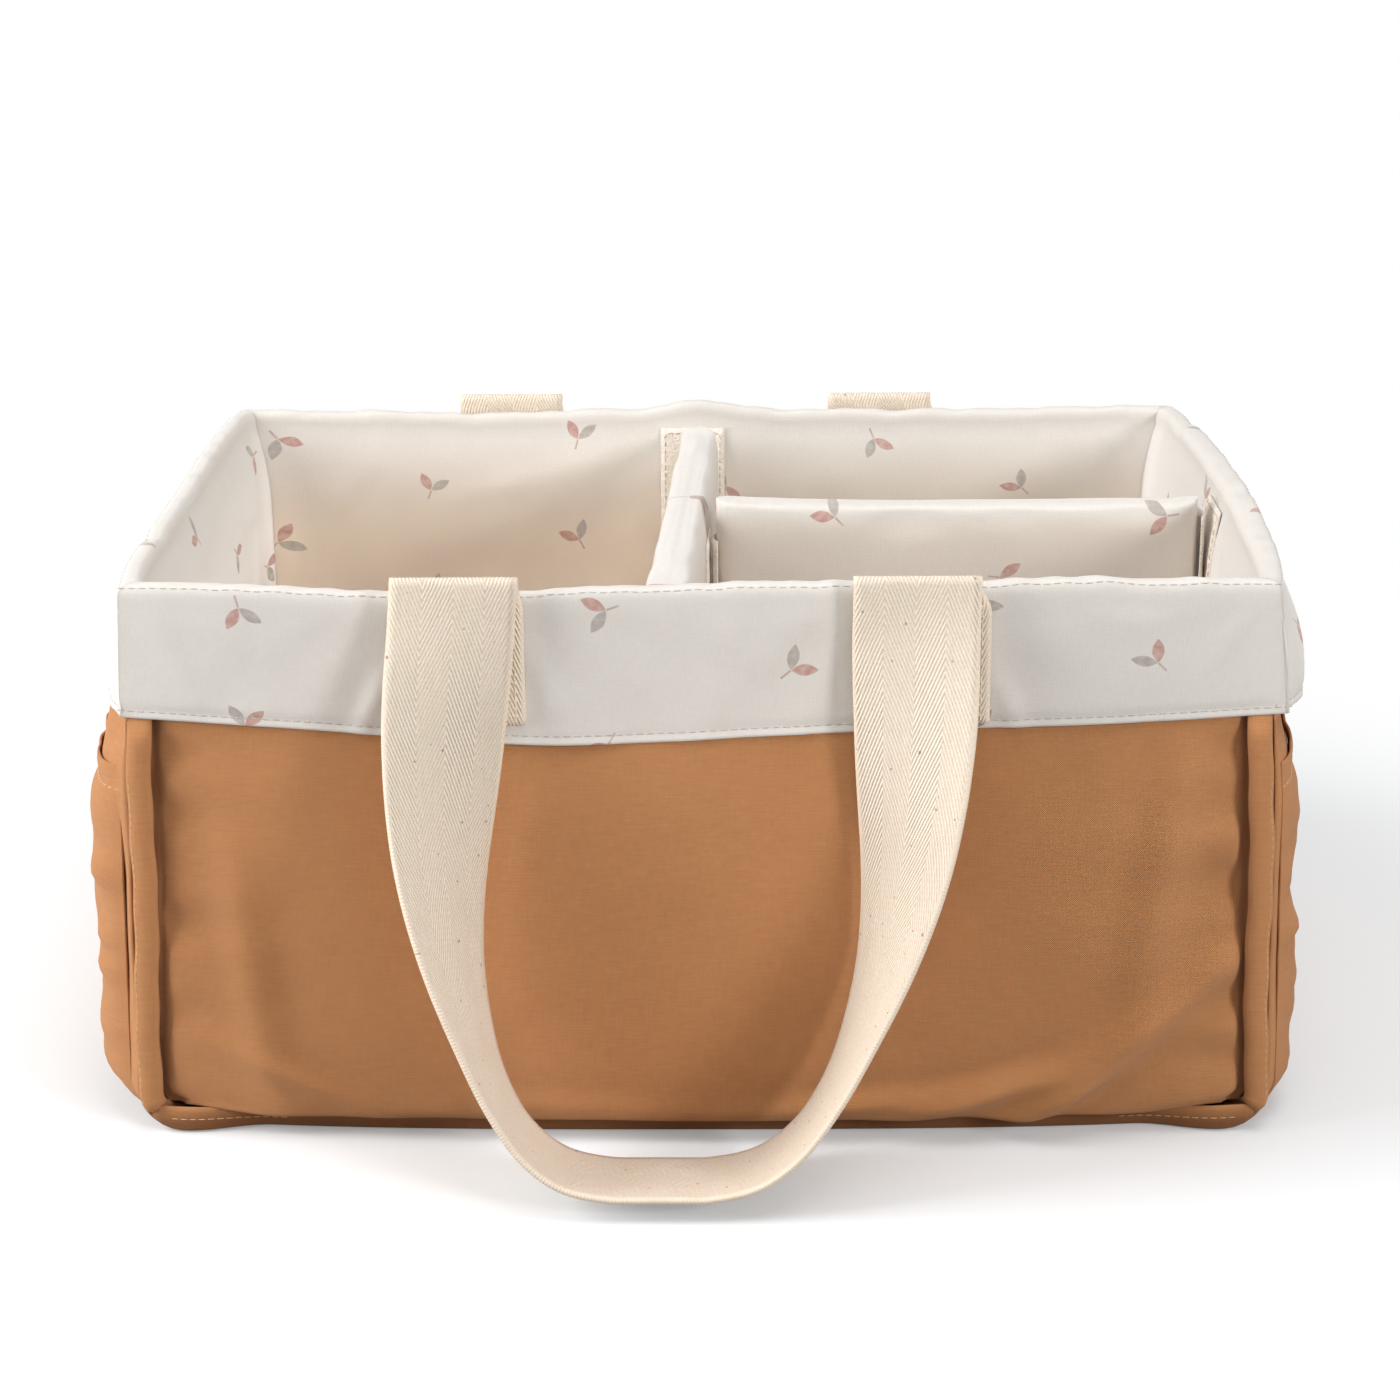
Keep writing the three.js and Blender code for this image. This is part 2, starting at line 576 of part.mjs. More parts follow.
// Cross divider, from the front wall to the back wall
const hookOut = CLEARANCE;
const hookIn = hookOut + STRIP_THICKNESS;
const crossHalf = -wallPoint(SIDES.front, CROSS_DIVIDER_X + WALL_STRIP_WIDTH / 2, stripIn, stripFoot, 1).y;
const crossEnd = crossHalf - hookIn - CLEARANCE;
const cross = divider(2 * crossEnd);
place('cross_divider_cover', cross.cover.translate(CROSS_DIVIDER_X, 0, 0), materials.print);
place('cross_divider_foam', cross.foam.translate(CROSS_DIVIDER_X, 0, 0), materials.foam);
for (const name of ['front', 'back']) {
  const faces = [SIDES[name].sign * (crossHalf - hookOut), SIDES[name].sign * (crossHalf - hookIn)];
  const strip = hookStrip(
    CROSS_DIVIDER_X - HOOK_STRIP_WIDTH / 2, CROSS_DIVIDER_X + HOOK_STRIP_WIDTH / 2,
    Math.min(...faces), Math.max(...faces),
  );
  place(`cross_divider_${name}_hook_strip`, strip, materials.strip);
}
const crossFace = CROSS_DIVIDER_X + DIVIDER_THICKNESS / 2 + CLEARANCE;
const crossStripFace = crossFace + STRIP_THICKNESS;
const crossLoopStrip = hookStrip(
  crossFace, crossStripFace,
  SIDE_DIVIDER_Y - WALL_STRIP_WIDTH / 2, SIDE_DIVIDER_Y + WALL_STRIP_WIDTH / 2,
);
place('cross_divider_loop_strip', crossLoopStrip, materials.strip);

// Side divider, from the cross divider to the right wall
const sideLeft = crossStripFace + hookIn + CLEARANCE;
const sideWall = wallPoint(SIDES.right, SIDE_DIVIDER_Y + WALL_STRIP_WIDTH / 2, stripIn, stripFoot, 1).x;
const sideRight = sideWall - hookIn - CLEARANCE;
const sideCentre = (sideLeft + sideRight) / 2;
const sideDivider = divider(sideRight - sideLeft);
for (const geometry of Object.values(sideDivider)) {
  geometry.rotateZ(Math.PI / 2).translate(sideCentre, SIDE_DIVIDER_Y, 0);
}
place('side_divider_cover', sideDivider.cover, materials.print);
place('side_divider_foam', sideDivider.foam, materials.foam);
const hookLow = SIDE_DIVIDER_Y - HOOK_STRIP_WIDTH / 2;
const hookHigh = SIDE_DIVIDER_Y + HOOK_STRIP_WIDTH / 2;
const leftHook = hookStrip(crossStripFace + hookOut, crossStripFace + hookIn, hookLow, hookHigh);
const rightHook = hookStrip(sideWall - hookIn, sideWall - hookOut, hookLow, hookHigh);
place('side_divider_left_hook_strip', leftHook, materials.strip);
place('side_divider_right_hook_strip', rightHook, materials.strip);

export default caddy;
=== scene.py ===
import math

import bmesh
import bpy
import numpy as np
from mathutils import Matrix, Vector, noise


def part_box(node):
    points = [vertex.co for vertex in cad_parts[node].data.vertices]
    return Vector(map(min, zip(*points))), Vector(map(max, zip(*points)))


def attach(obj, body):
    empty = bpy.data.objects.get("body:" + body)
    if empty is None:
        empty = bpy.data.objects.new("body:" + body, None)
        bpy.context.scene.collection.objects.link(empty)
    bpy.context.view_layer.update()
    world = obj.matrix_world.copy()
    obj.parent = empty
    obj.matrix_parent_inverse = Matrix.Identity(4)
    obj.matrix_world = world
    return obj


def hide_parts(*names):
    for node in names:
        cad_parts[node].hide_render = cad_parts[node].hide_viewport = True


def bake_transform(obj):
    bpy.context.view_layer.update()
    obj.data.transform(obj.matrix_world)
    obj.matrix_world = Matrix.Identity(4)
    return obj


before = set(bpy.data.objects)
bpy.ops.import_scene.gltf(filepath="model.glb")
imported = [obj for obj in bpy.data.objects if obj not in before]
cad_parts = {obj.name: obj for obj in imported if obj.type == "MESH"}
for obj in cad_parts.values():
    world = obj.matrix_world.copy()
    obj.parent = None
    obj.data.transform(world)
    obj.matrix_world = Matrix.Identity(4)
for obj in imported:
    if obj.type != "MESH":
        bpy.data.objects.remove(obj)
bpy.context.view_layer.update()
scene = bpy.context.scene
scene.view_settings.view_transform = "Standard"

# Camera: a long lens a metre in front of the caddy and a little above it, so that the
# inside shows over the front rim.
CAMERA_PLACE = (0.0115, -1.008, 0.451)
CAMERA_LENS_MM, CAMERA_SENSOR_MM = 75.6, 36
CAMERA_DOWN, CAMERA_TURN, CAMERA_ROLL = (math.radians(a) for a in (18.8, 0.73, -0.42))
camera = bpy.data.objects.new("camera", bpy.data.cameras.new("camera"))
camera.data.lens = CAMERA_LENS_MM
camera.data.sensor_width = CAMERA_SENSOR_MM
look = Matrix.Rotation(CAMERA_TURN, 4, "Z") @ Matrix.Rotation(math.pi / 2 - CAMERA_DOWN, 4, "X")
camera.matrix_world = Matrix.Translation(CAMERA_PLACE) @ look @ Matrix.Rotation(CAMERA_ROLL, 4, "Z")
scene.collection.objects.link(camera)
scene.camera = camera

# Front and back panels: tan cotton canvas, cut as rectangles with rounded lower corners and
# sewn to the pipings and the bottom, so that the padding behind pushes their middle out.
RIM_LENGTH, RIM_DEPTH, RIM_HEIGHT = 0.364, 0.243, 0.188
LENGTH_FLARE, DEPTH_FLARE = 0.006, 0.0035
BASE_RADIUS = 0.014
CLEARANCE, CANVAS, CLOTH = 0.0003, 0.001, 0.0008
FOAM_OUT, FOAM_IN = 0.0013, 0.0103
LINING_IN, CUFF_FACE = 0.0114, -0.0011
LONG_CROWN, LONG_BULGE = 0.003, 0.006
END_CROWN, END_BULGE, END_SHOULDER, RIGHT_RIM_BULGE = 0.004, 0.006, 0.026, 0.005
CUFF_DROP = 0.046
HEM, HEM_FADE = RIM_HEIGHT - CUFF_DROP, 0.012
RIM_ROUND = (LINING_IN - CUFF_FACE) / 2
WALL_TOP = RIM_HEIGHT - RIM_ROUND
RIM_RIDGE, LEAN_HEIGHT = 0.0062, 0.030
RIM_FULLNESS = {"front": 0.0, "back": 0.0, "left": 0.0, "right": 0.45}
PIPING_INSET = 0.0089
SIDES = {"front": (False, -1), "back": (False, 1), "left": (True, -1), "right": (True, 1)}
base_centre = RIM_LENGTH / 2 + LENGTH_FLARE * (1 - BASE_RADIUS / RIM_HEIGHT) - BASE_RADIUS


def stacked(*parts):
    return np.stack(np.broadcast_arrays(*parts), -1)


def crowded(count, pull):
    share = np.linspace(-1, 1, count)[None, :]
    return share * (1 + pull - pull * share ** 2)


def half_length(z, inset, upright=0.0):
    straight = RIM_LENGTH / 2 + LENGTH_FLARE * (1 - upright) * (1 - z / RIM_HEIGHT) - inset
    drop = (BASE_RADIUS - inset) ** 2 - (BASE_RADIUS - z) ** 2
    curved = base_centre + np.sqrt(np.maximum(drop, 0))
    return np.where((z < BASE_RADIUS) & (np.asarray(upright) == 0), curved, straight)


def half_depth(z, inset, upright=0.0):
    return RIM_DEPTH / 2 + DEPTH_FLARE * (1 - upright) * (1 - z / RIM_HEIGHT) - inset


def long_swell(x, z, upright=0.0):
    u = np.clip(np.abs(x) / (RIM_LENGTH / 2 + LENGTH_FLARE), 0, 1)
    bulge = LONG_BULGE * (1 - u ** 4) * np.sin(math.pi * np.clip(z / HEM, 0, 1))
    return LONG_CROWN * (1 - u ** 2) + (1 - upright) * bulge


def end_swell(sign, y, z, upright=0.0):
    u = np.clip(np.abs(y) / (RIM_DEPTH / 2 + DEPTH_FLARE), 0, 1)
    foot = np.clip(z / BASE_RADIUS, 0, 1)
    shoulder = np.clip((HEM - z) / END_SHOULDER, 0, 1)
    rise = np.clip((z - HEM) / CUFF_DROP, 0, 1)
    crown = END_CROWN * np.maximum(upright, foot) * (1 - u ** 4)
    bulge = (1 - upright) * END_BULGE * np.minimum(foot, shoulder) * (1 - u ** 8)
    rim = RIGHT_RIM_BULGE * np.maximum(upright, rise) * (1 - u ** 2) if sign > 0 else 0
    return crown + bulge + rim


def wall(side, along, inset, z, upright=0.0):
    end_wall, sign = SIDES[side]
    if end_wall:
        x = half_length(z, inset, upright) + end_swell(sign, along, z, upright)
        return stacked(sign * x, along, z)
    y = half_depth(z, inset, upright) + long_swell(along, z, upright)
    return stacked(along, sign * y, z)


def smooth_step(low, high, x):
    t = np.clip((x - low) / (high - low), 0, 1)
    return t * t * (3 - 2 * t)


def ripple(points, size, seed):
    flat = points.reshape(-1, 3) / size + np.array([seed * 7.3, seed * 3.1, seed * 5.7])
    return np.array([noise.noise(Vector(p)) for p in flat]).reshape(points.shape[:-1])


def rippled(points, ripples, shift=0):
    return sum(height * ripple(points, size, seed + shift) for height, size, seed in ripples)


def nearness(x, middle, width):
    return np.exp(-(((x - middle) / width) ** 2))


def folds(across, up, creases):
    height = np.zeros(np.broadcast(across, up).shape)
    for middle, level, degrees, length, width, depth in creases:
        turn = math.radians(degrees)
        along = (across - middle) * math.cos(turn) + (up - level) * math.sin(turn)
        off = (up - level) * math.cos(turn) - (across - middle) * math.sin(turn)
        ridge = (1 - (off / width) ** 2) * nearness(off, 0, width)
        height = height + depth * ridge * nearness(along, 0, length)
    return height


def rolled_edge(distance, radius):
    inside = 1 - np.clip(distance / radius, 0, 1)
    return 1 - np.sqrt(np.maximum(1 - inside ** 2, 0))


def srgb(red, green, blue):
    parts = [c / 255 for c in (red, green, blue)]
    return (*[c / 12.92 if c <= 0.04045 else ((c + 0.055) / 1.055) ** 2.4 for c in parts], 1)


def math_node(operation, turned=False):
    def applied(self, *others):
        values = (*others, self) if turned else (self, *others)
        return self.node("ShaderNodeMath", {"operation": operation}, dict(enumerate(values)))

    return applied


class Dye:
    """One socket of a tree of nodes; arithmetic on it adds Math nodes."""

    __add__ = __radd__ = math_node("ADD")
    __mul__ = __rmul__ = math_node("MULTIPLY")
    __sub__, __rsub__ = math_node("SUBTRACT"), math_node("SUBTRACT", turned=True)
    __truediv__, __abs__ = math_node("DIVIDE"), math_node("ABSOLUTE")
    sine, cosine = math_node("SINE"), math_node("COSINE")
    fraction, floor = math_node("FRACT"), math_node("FLOOR")

    def __init__(self, tree, socket=None):
        self.tree = tree
        self.socket = socket

    def feed(self, target, value):
        if isinstance(value, Dye):
            self.tree.links.new(value.socket, target)
        else:
            target.default_value = value

    def node(self, kind, settings=(), sockets=(), output=0):
        made = self.tree.nodes.new(kind)
        for name, value in dict(settings).items():
            setattr(made, name, value)
        for key, value in dict(sockets).items():
            self.feed(made.inputs[key], value)
        return Dye(self.tree, made.outputs[output])

    def part(self, number):
        return self.node("ShaderNodeSeparateXYZ", {}, {0: self}, number)

    def ramp(self, low, high):
        sockets = {"Value": self, "From Min": low, "From Max": high}
        return self.node("ShaderNodeMapRange", {"interpolation_type": "SMOOTHSTEP"}, sockets)

    def mix(self, low, high):
        sockets = {0: self, 6: low, 7: high}
        return self.node("ShaderNodeMix", {"data_type": "RGBA"}, sockets, 2)

    def noise(self, scale, detail=2.0):
        stretched = self.node("ShaderNodeMapping", {}, {"Vector": self, "Scale": scale})
        return self.node("ShaderNodeTexNoise", {}, {"Vector": stretched, "Scale": 1.0, "Detail": detail})


SHEEN_ROUGHNESS, CLOTH_SPECULAR = 0.5, 0.25


def new_material(name, sheen=0.0):
    material = bpy.data.materials.new(name)
    material.use_nodes = True
    shader = material.node_tree.nodes["Principled BSDF"]
    shader.inputs["Sheen Weight"].default_value = sheen
    shader.inputs["Sheen Roughness"].default_value = SHEEN_ROUGHNESS
    shader.inputs["Specular IOR Level"].default_value = CLOTH_SPECULAR
    return material, Dye(material.node_tree), shader


def cloth_axes(dye):
    place = dye.node("ShaderNodeUVMap", {"uv_map": "cloth"})
    return place, place.part(0), place.part(1)


def body_axes(dye):
    return dye.node("ShaderNodeTexCoord", {}, {}, 3)


def woven(u, v, pitch_u, pitch_v):
    return (u * (math.tau / pitch_u)).sine() * (v * (math.tau / pitch_v)).sine()


def finish_material(dye, shader, colour, roughness, height, depth):
    dye.feed(shader.inputs["Base Color"], colour)
    dye.feed(shader.inputs["Roughness"], roughness)
    bump = dye.node("ShaderNodeBump", {}, {"Height": height, "Strength": 1.0, "Distance": depth})
    dye.feed(shader.inputs["Normal"], bump)


CANVAS_YARN = 0.0007
# The third colour is painted shade, given to the canvas low down by the base.
CANVAS_LIGHT, CANVAS_DARK, CANVAS_PAINTED_SHADE = srgb(206, 147, 98), srgb(176, 118, 72), srgb(140, 90, 52)
PAINTED_SHADE_HEIGHTS = (0.0020, 0.0095)
canvas, dye, shader = new_material("tan_canvas", sheen=0.1)
place, u, v = cloth_axes(dye)
over_under = woven(u, v, CANVAS_YARN, CANVAS_YARN)
weft_slub = place.noise((120, 1900, 1))
warp_slub = place.noise((1900, 120, 1))
faded = place.noise((14, 14, 1), 3)
tone = 0.5 + (weft_slub - 0.5) * 0.6 + (warp_slub - 0.5) * 0.35 + over_under * 0.14 + (faded - 0.5) * 0.3
# Painted shade: the canvas is painted darker near the base, from 2 mm to 9.5 mm up, as the shade under the
# panels' belly.
colour = body_axes(dye).part(2).ramp(*PAINTED_SHADE_HEIGHTS).mix(CANVAS_PAINTED_SHADE, tone.mix(CANVAS_DARK, CANVAS_LIGHT))
relief = over_under * 0.5 + weft_slub + warp_slub * 0.7
finish_material(dye, shader, colour, 0.95 - weft_slub * 0.12, relief, 0.00022)


def new_piece(name, points, faces, material):
    mesh = bpy.data.meshes.new(name)
    mesh.from_pydata(points.reshape(-1, 3).tolist(), [], faces.tolist())
    mesh.materials.append(material)
    mesh.shade_smooth()
    piece = bpy.data.objects.new(name, mesh)
    scene.collection.objects.link(piece)
    return piece


def grid_faces(index):
    corners = [index[:-1, :-1], index[:-1, 1:], index[1:, 1:], index[1:, :-1]]
    return np.stack(corners, -1).reshape(-1, 4)


def thicken(piece, thickness, offset):
    solidify = piece.modifiers.new("thickness", "SOLIDIFY")
    solidify.thickness = thickness
    solidify.offset = offset


def cloth_grid(name, points, uv, material, thickness=0.0, flip=False):
    rows, columns = points.shape[:2]
    quads = grid_faces(np.arange(rows * columns).reshape(rows, columns))
    if flip:
        quads = quads[:, ::-1]
    piece = new_piece(name, points, quads, material)
    layer = piece.data.uv_layers.new(name="cloth")
    layer.data.foreach_set("uv", uv.reshape(-1, 2)[quads.ravel()].ravel())
    if thickness:
        thicken(piece, thickness, -1)
    return piece


def sit(piece, body, slot, *nodes):
    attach(piece, body)
    if nodes:
        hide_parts(*nodes)
    return piece


PANEL_EDGE, PANEL_EDGE_DEPTH, PANEL_TUCK = 0.009, 0.0038, 0.006
LIP_HEIGHT, LIP_CORNER_RISE, LIP_CORNER = 0.0067, 0.0021, 0.030
FOOT_EDGE, FOOT_EDGE_DEPTH = 0.006, 0.0020
FOOT_HEM = (0.006, 0.0042, 0.0022, 0.0008)
BELLY, BELLY_TOP = 0.0065, 0.105
PANEL_ROWS, PANEL_COLUMNS = 98, 191
PANEL_RIPPLES = ((0.0018, 0.06, 1), (0.0004, 0.02, 2))
SIDE_PUCKER, FOOT_PUCKER, PUCKER_START = (0.0052, 0.013, 0.016, 5), (0.0030, 0.022, 0.014, 6), 0.004
FRONT_CREASES = [
    (0.137, 0.034, 37, 0.045, 0.0085, 0.0066),
    (0.089, 0.016, 17, 0.028, 0.0060, 0.0056),
    (0.122, 0.017, 32, 0.020, 0.0050, 0.0044),
    (0.050, 0.013, 6, 0.026, 0.0055, 0.0036),
    (0.150, 0.095, 80, 0.045, 0.0110, 0.0034),
    (-0.148, 0.060, 97, 0.050, 0.0100, 0.0022),
    (-0.130, 0.020, 155, 0.028, 0.0055, 0.0020),
    (-0.040, 0.012, 176, 0.035, 0.0060, 0.0010),
]
BACK_CREASES = [
    (-0.120, 0.030, 145, 0.040, 0.0080, 0.0028),
    (0.095, 0.020, 25, 0.030, 0.0060, 0.0022),
    (-0.145, 0.080, 82, 0.050, 0.0100, 0.0014),
    (0.010, 0.012, 3, 0.035, 0.0050, 0.0014),
]


def lip_corner(x):
    return smooth_step(base_centre - LIP_CORNER, base_centre, np.abs(x))


def lip_top(x):
    return LIP_HEIGHT + LIP_CORNER_RISE * lip_corner(x)


def belly(x, z):
    u = np.clip(np.abs(x) / (RIM_LENGTH / 2 + LENGTH_FLARE), 0, 1)
    return BELLY * (1 - u ** 4) * (1 - smooth_step(0, BELLY_TOP, z))


def puckers(line, distance, height, size, reach, seed):
    return height * ripple(line, size, seed) * np.exp(-np.maximum(distance, 0) / reach)


for side, creases in (("front", FRONT_CREASES), ("back", BACK_CREASES)):
    top = WALL_TOP - CLEARANCE
    climb = np.concatenate([np.zeros(len(FOOT_HEM)), np.linspace(0, 1, PANEL_ROWS) ** 1.25])[:, None]
    turned_in = np.concatenate([FOOT_HEM, np.zeros(PANEL_ROWS)])[:, None]
    seam = half_length(LIP_HEIGHT + (top - LIP_HEIGHT) * climb, PIPING_INSET) - CLEARANCE
    x = crowded(PANEL_COLUMNS, 0.25) * (seam + PANEL_TUCK)
    z = lip_top(x) + (top - lip_top(x)) * climb
    side_gap = seam - np.abs(x)
    above_seam = z - lip_top(x)
    points = wall(side, x, 0, z)
    pucker = puckers(stacked(np.sign(x), 0 * x, z), side_gap, *SIDE_PUCKER)
    pucker = pucker + puckers(stacked(x, 0 * x, 0 * z), above_seam, *FOOT_PUCKER)
    pucker = pucker * smooth_step(0, PUCKER_START, np.minimum(side_gap, above_seam))
    soft = folds(x, z, creases) + rippled(points, PANEL_RIPPLES)
    soft = (soft + pucker) * (1 - smooth_step(HEM - HEM_FADE, HEM, z))
    sign = SIDES[side][1]
    side_sunk = PANEL_EDGE_DEPTH * rolled_edge(side_gap, PANEL_EDGE)
    foot_sunk = FOOT_EDGE_DEPTH * rolled_edge(above_seam, FOOT_EDGE)
    points[..., 1] += sign * (soft + belly(x, z) - np.maximum(side_sunk, foot_sunk) - turned_in)
    panel = cloth_grid(f"{side}_canvas", points, stacked(x, z - turned_in), canvas, CANVAS, flip=sign > 0)
    sit(panel, "caddy", "canvas", f"{side}_panel")

# End panels: the same canvas, one piece over each end, which rolls under at the base corners
# and is sewn to the bottom. The pocket covers most of it.
END_STUFFING = {"left": 0.0072, "right": 0.0028}
END_RIPPLES = ((0.0007, 0.05, 3),)
STUFFED_UPPER, STUFFED_FOOT, FOOT_SHARE = (0.085, 0.115, 0.140, 0.158), (0.001, 0.010, 0.03, 0.06), 0.6
CUFF_CORNER_RISE, CUFF_CORNER_REACH = (0.126, 0.138), (0.78, 0.93)
END_CURL_ROWS, END_ROWS, END_COLUMNS = 13, 61, 81


def window(z, low, full, fading, gone):
    return smooth_step(low, full, z) * (1 - smooth_step(fading, gone, z))


for side in ("left", "right"):
    sign = SIDES[side][1]
    turn = np.linspace(math.pi / 2, 0, END_CURL_ROWS)
    rise = np.linspace(BASE_RADIUS, WALL_TOP - CLEARANCE, END_ROWS)[1:]
    z = np.concatenate([BASE_RADIUS * (1 - np.sin(turn)), rise])[:, None]
    x = np.concatenate([base_centre + BASE_RADIUS * np.cos(turn), half_length(rise, 0)])[:, None]
    y = np.linspace(-1, 1, END_COLUMNS)[None, :] * half_depth(z, -CANVAS)
    points = stacked(sign * (x + end_swell(sign, y, z)), y, z)
    points[..., 0] += sign * rippled(points, END_RIPPLES) * smooth_step(0.012, 0.03, z)
    u = np.abs(y) / (RIM_DEPTH / 2)
    cuff_corner = smooth_step(*CUFF_CORNER_RISE, z) * smooth_step(*CUFF_CORNER_REACH, u)
    stuffed = window(z, *STUFFED_UPPER) + FOOT_SHARE * window(z, *STUFFED_FOOT)
    stuffed = stuffed * np.maximum(1 - u ** 24, 0) * (1 - cuff_corner)
    points[..., 0] += sign * END_STUFFING[side] * stuffed
    quarter = BASE_RADIUS * math.pi / 2
    arc = np.concatenate([BASE_RADIUS * (math.pi / 2 - turn), quarter + rise - BASE_RADIUS])[:, None]
    panel = cloth_grid(f"{side}_end_canvas", points, stacked(y, arc), canvas, CANVAS, flip=sign < 0)
    sit(panel, "caddy", "canvas", f"{side}_end_panel")

# Bottom panel: canvas laid under the stiff board, with a narrow lip turned up at the front
# and the back, where it is sewn to the panels.
LIP_TUCK, LIP_SLOPE, LIP_OVERLAP = 0.0060, 0.0015, 0.0003
BOTTOM_CURL, BOTTOM_EASE, EASE_REACH = 0.0095, 0.0012, 0.004
LIP_ROWS, BOTTOM_ROWS, BOTTOM_COLUMNS = 9, 41, 121


def lip_depth(x):
    return half_depth(0, LIP_TUCK * (1 - 1.25 * lip_corner(x))) + long_swell(x, 0) + belly(x, 0)


def run_of(line, power=1.0):
    return np.concatenate([[0], np.cumsum(np.linalg.norm(np.diff(line, axis=0), axis=1) ** power)])


bottom_reach = base_centre + BOTTOM_CURL
x = np.linspace(-bottom_reach, bottom_reach, BOTTOM_COLUMNS)[None, :]
fall = np.linspace(0, 1, LIP_ROWS)[:, None]
beyond = np.maximum(np.abs(x) - base_centre, 0)
lifted = BASE_RADIUS - np.sqrt(BASE_RADIUS ** 2 - beyond ** 2)
lip_z = lifted + (lip_top(x) + LIP_OVERLAP - lifted) * (1 - np.sin(fall * math.pi / 2))
half = lip_depth(x) - LIP_SLOPE * (1 - np.cos(fall * math.pi / 2))
front_rows = stacked(x, -half, lip_z)
under = np.linspace(-1, 1, BOTTOM_ROWS)[1:-1, None]
flat_rows = stacked(x, under * half[-1], lifted + BOTTOM_EASE * smooth_step(0, EASE_REACH, beyond))
points = np.concatenate([front_rows, flat_rows, front_rows[::-1] * np.array([1, -1, 1])])
arc = run_of(points[:, BOTTOM_COLUMNS // 2])[:, None]
bottom = cloth_grid("bottom_canvas", points, stacked(x, arc), canvas, CANVAS, flip=True)
sit(bottom, "caddy", "canvas", "bottom_panel")

# Padding: sheets of soft white foam inside the four walls and under the floor lining, cut a
# little smaller than their covers, over a stiff fibre board in the base.
PAD_FOOT, PAD_TOP, PAD_SLACK = 0.017, WALL_TOP - 0.006, 0.0045
PAD_INSET, PAD_EASE, PAD_ROLL, PAD_ROLL_DEPTH = 0.004, 0.0006, 0.003, 0.0015
FLOOR_PAD_HALF, FLOOR_PAD_EASE = (0.171, 0.1105), 0.0005
FLOOR_ROLL, FLOOR_ROLL_DEPTH = 0.0018, 0.0012
PAD_ROWS, PAD_COLUMNS = 31, 41
FOAM_COLOURS, BOARD_COLOURS = ((226, 220, 206), (246, 243, 236)), ((122, 104, 82), (158, 140, 116))


def speckled(name, scale, detail, colours, roughness, change, depth, sheen=0.0):
    material, dye, shader = new_material(name, sheen)
    specks = body_axes(dye).noise(scale, detail)
    colour = specks.ramp(0.3, 0.7).mix(*(srgb(*colour) for colour in colours))
    finish_material(dye, shader, colour, roughness + specks * change, specks, depth)
    return material


def mend(mesh, close=False):
    work = bmesh.new()
    work.from_mesh(mesh)
    if close:
        bmesh.ops.remove_doubles(work, verts=work.verts, dist=1e-6)
        bmesh.ops.holes_fill(work, edges=work.edges)
    bmesh.ops.recalc_face_normals(work, faces=work.faces)
    work.to_mesh(mesh)
    work.free()


def closed_pad(name, face, back, material):
    rows, columns = face.shape[:2]
    index = np.arange(rows * columns * 2).reshape(rows, columns * 2)
    faces = [grid_faces(np.concatenate([index, index[:, :1]], 1))[:, ::-1]]
    for row, way in ((0, -1), (-1, 1)):
        front, rear = index[row, :columns], index[row, columns:][::-1]
        faces.append(np.stack([front[:-1], front[1:], rear[1:], rear[:-1]], -1)[:, ::way])
    shell = np.concatenate([face, back[:, ::-1]], 1)
    pad = new_piece(name, shell, np.concatenate(faces), material)
    mend(pad.data)
    return pad


def rim_lean(z):
    return (LINING_IN - RIM_RIDGE) * np.clip((z - WALL_TOP + LEAN_HEIGHT) / LEAN_HEIGHT, 0, 1) ** 2


def box_of(node):
    return [np.array(corner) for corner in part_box(node)]


foam = speckled("padding_foam", (900, 900, 900), 3, FOAM_COLOURS, 0.98, -0.1, 0.0004)
board = speckled("fibre_board", (60, 420, 420), 5, BOARD_COLOURS, 0.9, -0.15, 0.0003)
for side, (end_wall, sign) in SIDES.items():
    z = np.linspace(PAD_FOOT, PAD_TOP, PAD_ROWS)[:, None]
    slack = PAD_SLACK * (1 - 0.9 * smooth_step(HEM - HEM_FADE, HEM, z))
    reach = (half_depth if end_wall else half_length)(z, FOAM_IN, 1) - PAD_INSET
    along = np.linspace(-1, 1, PAD_COLUMNS)[None, :] * reach
    border = np.minimum(reach - np.abs(along), np.minimum(z - PAD_FOOT, PAD_TOP - z))
    edge = PAD_ROLL_DEPTH * rolled_edge(border, PAD_ROLL)
    face = wall(side, along, FOAM_OUT + slack + edge, z)
    back = wall(side, along, FOAM_IN - PAD_EASE - edge - rim_lean(z), z, 1)
    pad = closed_pad(f"{side}_padding", face, back, foam)
    sit(pad, "caddy", "foam", f"{side}_foam")
low, high = box_of("floor_foam")
across = np.linspace(low[0] + FLOOR_PAD_EASE, high[0] - FLOOR_PAD_EASE, PAD_COLUMNS)[None, :]
deep = np.linspace(low[1] + FLOOR_PAD_EASE, high[1] - FLOOR_PAD_EASE, PAD_ROWS)[:, None]
border = np.minimum(FLOOR_PAD_HALF[0] - np.abs(across), FLOOR_PAD_HALF[1] - np.abs(deep))
edge = rolled_edge(border, FLOOR_ROLL) * FLOOR_ROLL_DEPTH
face, back = (stacked(across, deep, level) for level in (high[2] - edge, low[2] + edge))
pad = closed_pad("floor_padding", face, back, foam)
sit(pad, "caddy", "foam", "floor_foam")
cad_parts["bottom_board"].data.materials.clear()
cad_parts["bottom_board"].data.materials.append(board)

